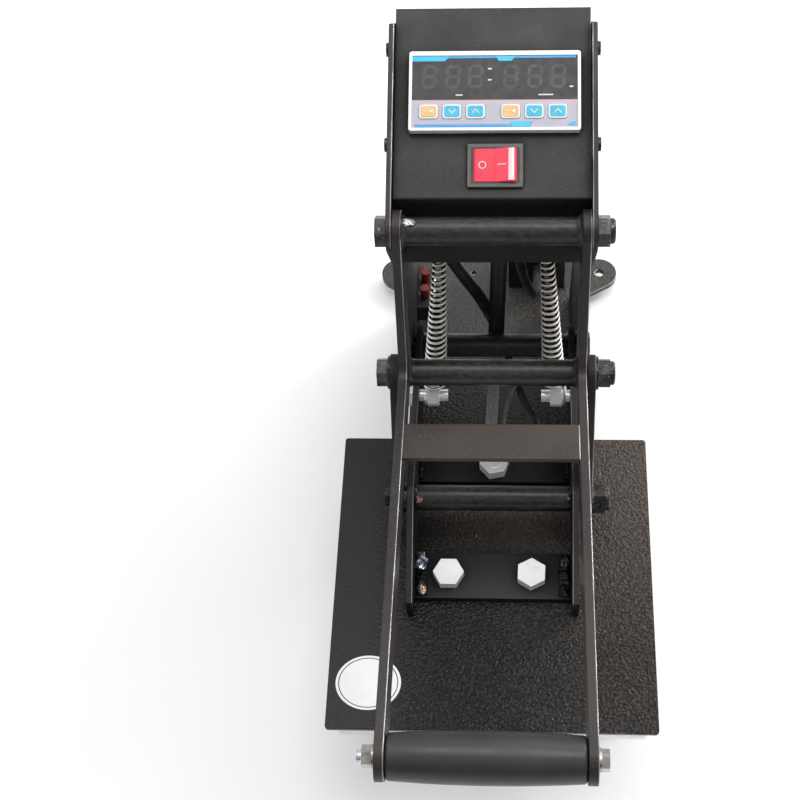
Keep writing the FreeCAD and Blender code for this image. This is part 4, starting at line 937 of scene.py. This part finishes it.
def make_leads():
    """The four leads, each with its radius in millimetres and a sleeve's where it has one."""
    make_lead("heater_lead", heater_route, 4.0, "braid", True, 5.5)
    make_lead("earth_lead", earth_route, 2.5, "cable", True, 4.2)
    make_lead("sensor_lead", sensor_route, 1.5, "lead", True)
    make_lead("power_lead", power_route, 3.25, "cable", False)


def make_bushes():
    """A flanged sleeve where each lead enters the rear face of the heater plate."""
    behind = Vector((0, -0.2, 0))
    for name, route, radius in (("heater", heater_route, 4.05), ("earth", earth_route, 2.55),
                                ("sensor", sensor_route, 1.55)):
        r = radius * mm
        profile = [(0.0, r + 0.0035), (0.0006, r + 0.004), (0.0022, r + 0.004), (0.0028, r + 0.0034),
                   (0.003, r + 0.0018), (0.0075, r + 0.0014), (0.0082, r + 0.0008), (0.0082, r)]
        place = (Vector(route[-1]) + behind) * mm
        lathe(name + "_bush", profile, place, (0, 1, 0), 32, "zinc", "arm")


# Welds

def weld_ring(name, node, side, size, look, body, seed):
    """The hollow-faced bead round a tube's end, fullest on top, against the plate that it is welded to."""
    low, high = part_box(node)
    centre = (low + high) / 2
    centre.x = low.x if side < 0 else high.x
    radius = (high.z - low.z) / 2
    sides, steps = 64, 8
    rings = []
    for k in range(steps + 1):
        sweep = math.pi / 2 * k / steps
        ring = []
        for i in range(sides):
            turn = 2 * math.pi * i / sides
            way = Vector((0, math.cos(turn), math.sin(turn)))
            lump = 1 + 0.25 * noise.noise(way * 2.5 + Vector((seed * 3.7, 0, 0)))
            reach = size * mm * (0.6 + 0.4 * max(0.0, way.z)) * lump
            out = radius + reach * (1 - math.sin(sweep))
            ring.append(centre + way * out + Vector((-side * reach * (1 - math.cos(sweep)), 0, 0)))
        rings.append(ring)
    skin(name, rings, look, body, caps=False)


def weld_line(name, first, last, size, look, body, seed):
    """A bead along a straight corner, rippled like a row of coins."""
    first = Vector(first) * mm
    last = Vector(last) * mm
    length = (last - first).length
    spacing, coin = 0.0007, 0.0026
    count = max(12, int(length / spacing))
    points = [first.lerp(last, i / count) for i in range(count + 1)]

    def swell(i):
        ripple = 0.86 + 0.14 * abs(math.sin(math.pi * i * length / count / coin))
        end = min(1.0, math.sqrt(min(i, count - i) / 3.0) + 0.25)
        return size * mm * ripple * end * (1 + 0.3 * noise.noise(points[i] * 300 + Vector((seed, 0, 0))))

    tube(name, points, swell, look, body, 14)


def weld_blob(name, place, size, look, body, seed):
    """A lump of weld metal with spatter."""
    shape = bmesh.new()
    bmesh.ops.create_icosphere(shape, subdivisions=4, radius=1.0)
    stretch = Vector(size) * mm
    centre = Vector(place) * mm
    for vertex in shape.verts:
        way = vertex.co.copy()
        swell = 0.35 * noise.noise(way * 2.2 + Vector((seed, 0, 0)))
        spatter = 0.16 * noise.noise(way * 6 + Vector((0, seed, 0)))
        vertex.co = centre + way * stretch * (1 + swell + spatter)
    piece(name, shape, look, body)


def weld_bed(name, x0, x1, y0, y1, z, rise, look, body, seed):
    """A wide lumpy fill of weld metal between two faces, rippled from front to back."""
    across, along, coin = 18, 52, 3.1
    rings = []
    for j in range(along + 1):
        share = j / along
        y = y0 + (y1 - y0) * share
        end = math.sqrt(max(0.0, 1 - (2 * share - 1) ** 8))
        drift = noise.noise(Vector((seed, y * 0.3, 0)))
        ripple = 0.7 + 0.3 * abs(math.sin(math.pi * (y - y0) / coin + drift))
        waver = 1 + 0.22 * noise.noise(Vector((seed * 1.7, y * 0.45, 3.0)))
        ring = []
        for i in range(across + 1):
            u = 2 * i / across - 1
            x = (x0 + x1) / 2 + (x1 - x0) / 2 * u * waver
            lump = 1 + 0.7 * noise.noise(Vector((x * 0.35, y * 0.28, seed)))
            height = rise * math.sqrt(max(0.0, 1 - u * u)) * end * ripple * lump
            ring.append(Vector((x, y, z + height - 0.5)) * mm)
        rings.append(ring)
    skin(name, rings, look, body)


def make_welds():
    """Beads at the tubes' ends and beside the straps, and the lumps that the photo shows."""
    tube_ends = (("top", "handle_tube_top", 4.7, "tube", "handle", 2),
                 ("knee", "handle_tube_knee", 4.2, "tube", "handle", 5),
                 ("arm_rear", "arm_tube_rear", 3.2, "painted", "arm", 8),
                 ("arm_front", "arm_tube_front", 3.2, "painted", "arm", 11))
    for side, name in both_sides:
        for end, node, size, look, body, seed in tube_ends:
            weld_ring("weld_" + end + "_" + name, node, side, size, look, body, seed + side)
        low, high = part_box("front_strap")
        edges = sorted((side * 40.6, side * 49.2))
        weld_bed("weld_front_strap_" + name, *edges, low.y / mm + 0.6, high.y / mm - 0.4, high.z / mm - 0.1,
                 1.9, "painted", "arm", 11 + side)
        low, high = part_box("rear_strap")
        x, z = side * 48.3, high.z / mm
        first, last = (x, low.y / mm + 1, z), (x, high.y / mm - 1, z)
        weld_line("weld_rear_strap_" + name, first, last, 2.4, "painted", "arm", 21 + side)
    # Weld lumps painted pale as highlights, at the top tube's left end and the front strap's left end
    weld_blob("weld_top_glint", (-47.0, -9.9, 307.0), (4.6, 2.4, 1.1), "glint", "handle", 30)
    weld_blob("weld_blob_silver", (-45.4, -123.6, 106.4), (3.9, 5.8, 1.6), "silver_highlight", "arm", 31)
    weld_blob("weld_blob_copper", (-43.9, -142.4, 106.3), (2.4, 3.8, 1.2), "copper", "arm", 32)
    weld_blob("weld_blob_grey", (45.6, -123.0, 106.2), (2.8, 3.6, 1.2), "weld", "arm", 33)
    weld_blob("weld_shaft_copper", (-46.6, -94.6, 138.6), (3.4, 3.2, 1.6), "copper", "arm", 35)
    weld_blob("weld_shaft_grey", (47.0, -93.0, 138.6), (2.2, 3.0, 1.4), "weld", "arm", 36)


# Threads that stand out of the nuts

def thread(name, place, axis, radius, first, last, pitch, body):
    """Thread ridges round a bolt's end, from first to last along its axis, in millimetres."""
    crest, root = 0.10, -0.25
    profile = []
    for k in range(int((last - first) / pitch * 2) + 1):
        height = radius + (crest if k % 2 else root)
        profile.append(((first + k * pitch / 2) * mm, height * mm))
    lathe(name, profile, Vector(place) * mm, axis, 32, "zinc", body)


def make_threads():
    """The grip rod's thread, seen on the left, and the threads of both spring bolts."""
    thread("thread_grip", (0, -288.6, 235.8), (-1, 0, 0), 3.0, 61.9, 64.3, 0.8, "handle")
    for side, name in both_sides:
        thread("thread_spring_" + name, spring_bolt, (side, 0, 0), 4.0, 30.6, 36.2, 1.0, "arm")


# Controller face, switch marks and sticker

# How far over the panel's plane each kind of print starts, in millimetres
on_window, on_line = 4.82, 4.84
on_sheet, on_stripe = 4.52, 4.54
on_key, on_inlay = 4.98, 5.08


def bar_outline(x, v, along, half, thick):
    """One bar of a seven-segment digit, pointed at both ends, across the panel or along its slope."""
    t = thick / 2
    flat = [(-half, 0), (t - half, -t), (half - t, -t), (half, 0), (half - t, t), (t - half, t)]
    if along:
        flat = [(-q, p) for p, q in flat]
    return [(x + p, v + q) for p, q in flat]


def make_digit(number, x, v):
    """A dim seven-segment digit behind the window, slightly slanted."""
    width, height, thick, lean, gap = 6.6, 12.0, 2.0, 0.05, 0.1
    bars = [(0, height / 2, False), (0, 0, False), (0, -height / 2, False)]
    bars += [(sx * width / 2, sv * height / 4, True) for sx in (-1, 1) for sv in (-1, 1)]
    shape = bmesh.new()
    for bar_x, bar_v, along in bars:
        half = (height / 4 if along else width / 2) - gap
        outline = bar_outline(bar_x, bar_v, along, half, thick)
        ring = [panel_point(x + p + lean * q, v + q, on_line) for p, q in outline]
        shape.faces.new([shape.verts.new(p) for p in ring])
    piece("digit_" + str(number), shape, "digit", "stand", smooth=False)


def make_display():
    """Six dim digits, the blue line with its two tabs, and plain marks where small legends were."""
    digit_v, digit_xs = 69.4, (-35.3, -22.1, -9.4, 10.3, 23.7, 36.7)
    for number, x in enumerate(digit_xs, 1):
        make_digit(number, x, digit_v)
    top, low, tab_low, edge = 81.5, 80.1, 78.4, 46.4
    line = [(-edge, low), (edge, low), (edge, top), (-edge, top)]
    print_on_panel("display_line", line, on_window, "stripe")
    for name, x0, x1, slant, cut in (("left", -edge, -23.4, 0.0, 3.6), ("middle", 1.4, 13.0, 2.0, 2.4)):
        tab = [(x0 + slant, tab_low), (x1 - cut, tab_low), (x1, top), (x0, top)]
        print_on_panel("display_tab_" + name, tab, on_line, "cyan")
    for number, (x, v) in enumerate(((-1.6, 73.9), (-1.6, 67.4), (43.9, 63.3)), 1):
        mark = rounded_corners(x - 1.1, x + 1.1, v - 0.45, v + 0.45, 0.3)
        print_on_panel("display_mark_" + str(number), mark, on_line, "mark")
    for number, (x, half) in enumerate(((-18.6, 2.0), (29.7, 4.2)), 1):
        bar = rounded_corners(x - half, x + half, 58.2, 59.0, 0.3)
        print_on_panel("display_bar_" + str(number), bar, on_line, "mark")


def chevron(x, v, way):
    """A bent stroke that points up the panel (way 1) or down it (way -1), as an outline."""
    half, rise, thick = 2.0, 1.1, 0.9
    upper = [(-half, -rise), (0, rise), (half, -rise)]
    points = [(x + p, v + way * (q + thick / 2)) for p, q in upper]
    points += [(x + p, v + way * (q - thick / 2)) for p, q in upper[::-1]]
    return points


def make_keys():
    """A coloured inlay and a white mark on each key."""
    v = 49.1
    for number in range(1, 7):
        body = "key_" + str(number)
        low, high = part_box(body)
        x = ((low + high) / 2).x / mm
        look = "orange" if number in (1, 4) else "blue"
        inlay = rounded_corners(x - 4.3, x + 4.3, v - 3.2, v + 3.2, 1.2)
        print_on_panel("key_inlay_" + str(number), inlay, on_key, look, body, 0.12, 0.05)
        if look == "orange":
            mark = [(x + 0.2, v), (x + 2.6, v + 1.5), (x + 2.6, v - 1.5)]
            bar = rounded_corners(x - 2.8, x + 0.6, v - 0.25, v + 0.25, 0.2)
            print_on_panel("key_bar_" + str(number), bar, on_inlay, "mark", body, 0.1)
        else:
            mark = chevron(x, v, -1 if number in (2, 5) else 1)
        print_on_panel("key_mark_" + str(number), mark, on_inlay, "mark", body, 0.1)


def make_sheet_print():
    """The stripe along the key sheet's lower edge, with its two brighter fields."""
    low, high = 40.1, 43.2
    stripe = [(-43.4, low), (11.0, low), (12.0, 41.7), (-43.4, 41.7)]
    band = [(11.0, low), (21.0, low), (22.6, high), (10.0, high)]
    corner = [(41.6, 40.9), (46.4, 40.9), (46.4, high), (43.6, high)]
    print_on_panel("sheet_stripe", stripe, on_sheet, "stripe")
    print_on_panel("sheet_band", band, on_stripe, "cyan")
    print_on_panel("sheet_corner", corner, on_stripe, "cyan")


def on_rocker(x, v):
    """The point of the rocker's face above (x, v) on the panel, and the face's normal."""
    far = panel_point(x, v, 30.0)
    down = (panel_point(x, v, 0.0) - far).normalized()
    return nodes["switch_rocker"].ray_cast(far, down)[1:3]


def oval(centre, half_x, half_y, share, height):
    """A ring of points round an oval, at that share of its size and that height over its centre."""
    steps = 72
    ring = []
    for k in range(steps):
        turn = 2 * math.pi * k / steps
        out = Vector((half_x * share * math.cos(turn), half_y * share * math.sin(turn), height))
        ring.append((centre + out) * mm)
    return ring


def make_switch_marks():
    """A ring at the off end and a stroke at the on end of the rocker, and a dark ring painted as the shadow
    in the gap round it.
    """
    inside, outside, rise = 0.0017, 0.0022, 0.00012
    profile = [(0.0, outside), (rise, outside), (rise, inside), (0.0, inside)]
    lathe("rocker_ring", profile, *on_rocker(-5.4, 18.8), 32, "mark", "rocker")
    first, last = [on_rocker(x, 18.9)[0] for x in (3.0, 7.8)]
    normal = on_rocker(5.4, 18.9)[1]
    up = normal.cross((last - first).normalized()) * 0.0003
    lift = normal * 0.00002
    outline = [first - up + lift, last - up + lift, last + up + lift, first + up + lift]
    slab("rocker_stroke", outline, normal, 0.0001, "mark", "rocker")
    # Painted shadow: a thin dark ring on the housing where the gap round the rocker is in shade
    outer = rounded_corners(-11.8, 15.4, 8.3, 29.3, 0.8)
    inner = rounded_corners(-10.5, 14.1, 9.0, 28.6, 0.2)
    low, high = 1.98, 2.03
    rings = [[panel_point(x, v, w) for x, v in line]
             for line, w in ((outer, low), (outer, high), (inner, high), (inner, low))]
    skin("switch_gap", rings, "case", "stand", caps=False, smooth=False)


def make_rocker_highlight():
    """A pale glossy strip painted as the highlight along the rocker's raised end."""
    first_x, last_x, first_v, last_v, lift = 9.2, 12.3, 9.6, 28.0, 0.00004
    across, along = 6, 12
    rings = []
    for k in range(along + 1):
        v = first_v + (last_v - first_v) * k / along
        hits = [on_rocker(first_x + (last_x - first_x) * i / across, v) for i in range(across + 1)]
        rings.append([spot + normal * lift for spot, normal in hits])
    skin("rocker_crest", rings, "crest", "rocker", closed_ring=False, caps=False)


def make_sticker():
    """A bare oval sticker with a thin dark ring, near the platen's front left corner."""
    place = (Vector((-75.2, -201.9, 100.3)), 20.1, 17.35)
    film = ((1.0, 0.0), (0.995, 0.1), (0.985, 0.14), (0.5, 0.14), (0.02, 0.14))
    ring = ((0.915, 0.14), (0.915, 0.17), (0.885, 0.17), (0.885, 0.14))
    for name, levels, look in (("sticker", film, "sticker"), ("sticker_ring", ring, "case")):
        rings = [oval(*place, share, height) for share, height in levels]
        skin(name, rings, look, "arm", caps=levels is film)


# Pad between the platens

def make_pad():
    """The silicone sponge pad, softly rounded along its upper edges."""
    low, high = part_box("silicone_pad")
    depth = high.z - low.z
    corner, steps = 0.003, 6
    levels = [(0.0006, 0.0), (0.0, 0.0008), (0.0001, depth / 2), (0.0, depth - 0.0014),
              (0.0004, depth - 0.0005), (0.0014, depth)]
    rings = []
    for inset, rise in levels:
        edges = (low.x + inset, high.x - inset, low.y + inset, high.y - inset)
        rings.append([Vector((x, y, low.z + rise)) for x, y in rounded_corners(*edges, corner, steps)])
    pad = skin("sponge_pad", rings, "sponge", "stand")
    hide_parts("silicone_pad")


# Terminal block

def make_terminal_screws():
    """Three slotted screws in the terminal block's right face."""
    low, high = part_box("terminal_block")
    profile = [(0.0, 0.003), (0.0008, 0.003), (0.0012, 0.0026), (0.0012, 0.0012), (0.0006, 0.001),
               (0.0006, 0.0001)]
    for number, share in enumerate((0.2, 0.5, 0.8), 1):
        spot = Vector((high.x, low.y + (high.y - low.y) * share, (low.z + high.z) / 2))
        lathe("terminal_screw_" + str(number), profile, spot, (1, 0, 0), 24, "zinc", "stand")


make_camera()
looks = all_materials()
make_world()
make_lights()
make_leads()
make_springs()
dress_nodes()
make_floor()
make_pad()
make_bushes()
make_welds()
make_threads()
make_display()
make_keys()
make_sheet_print()
make_switch_marks()
make_rocker_highlight()
make_sticker()
make_terminal_screws()
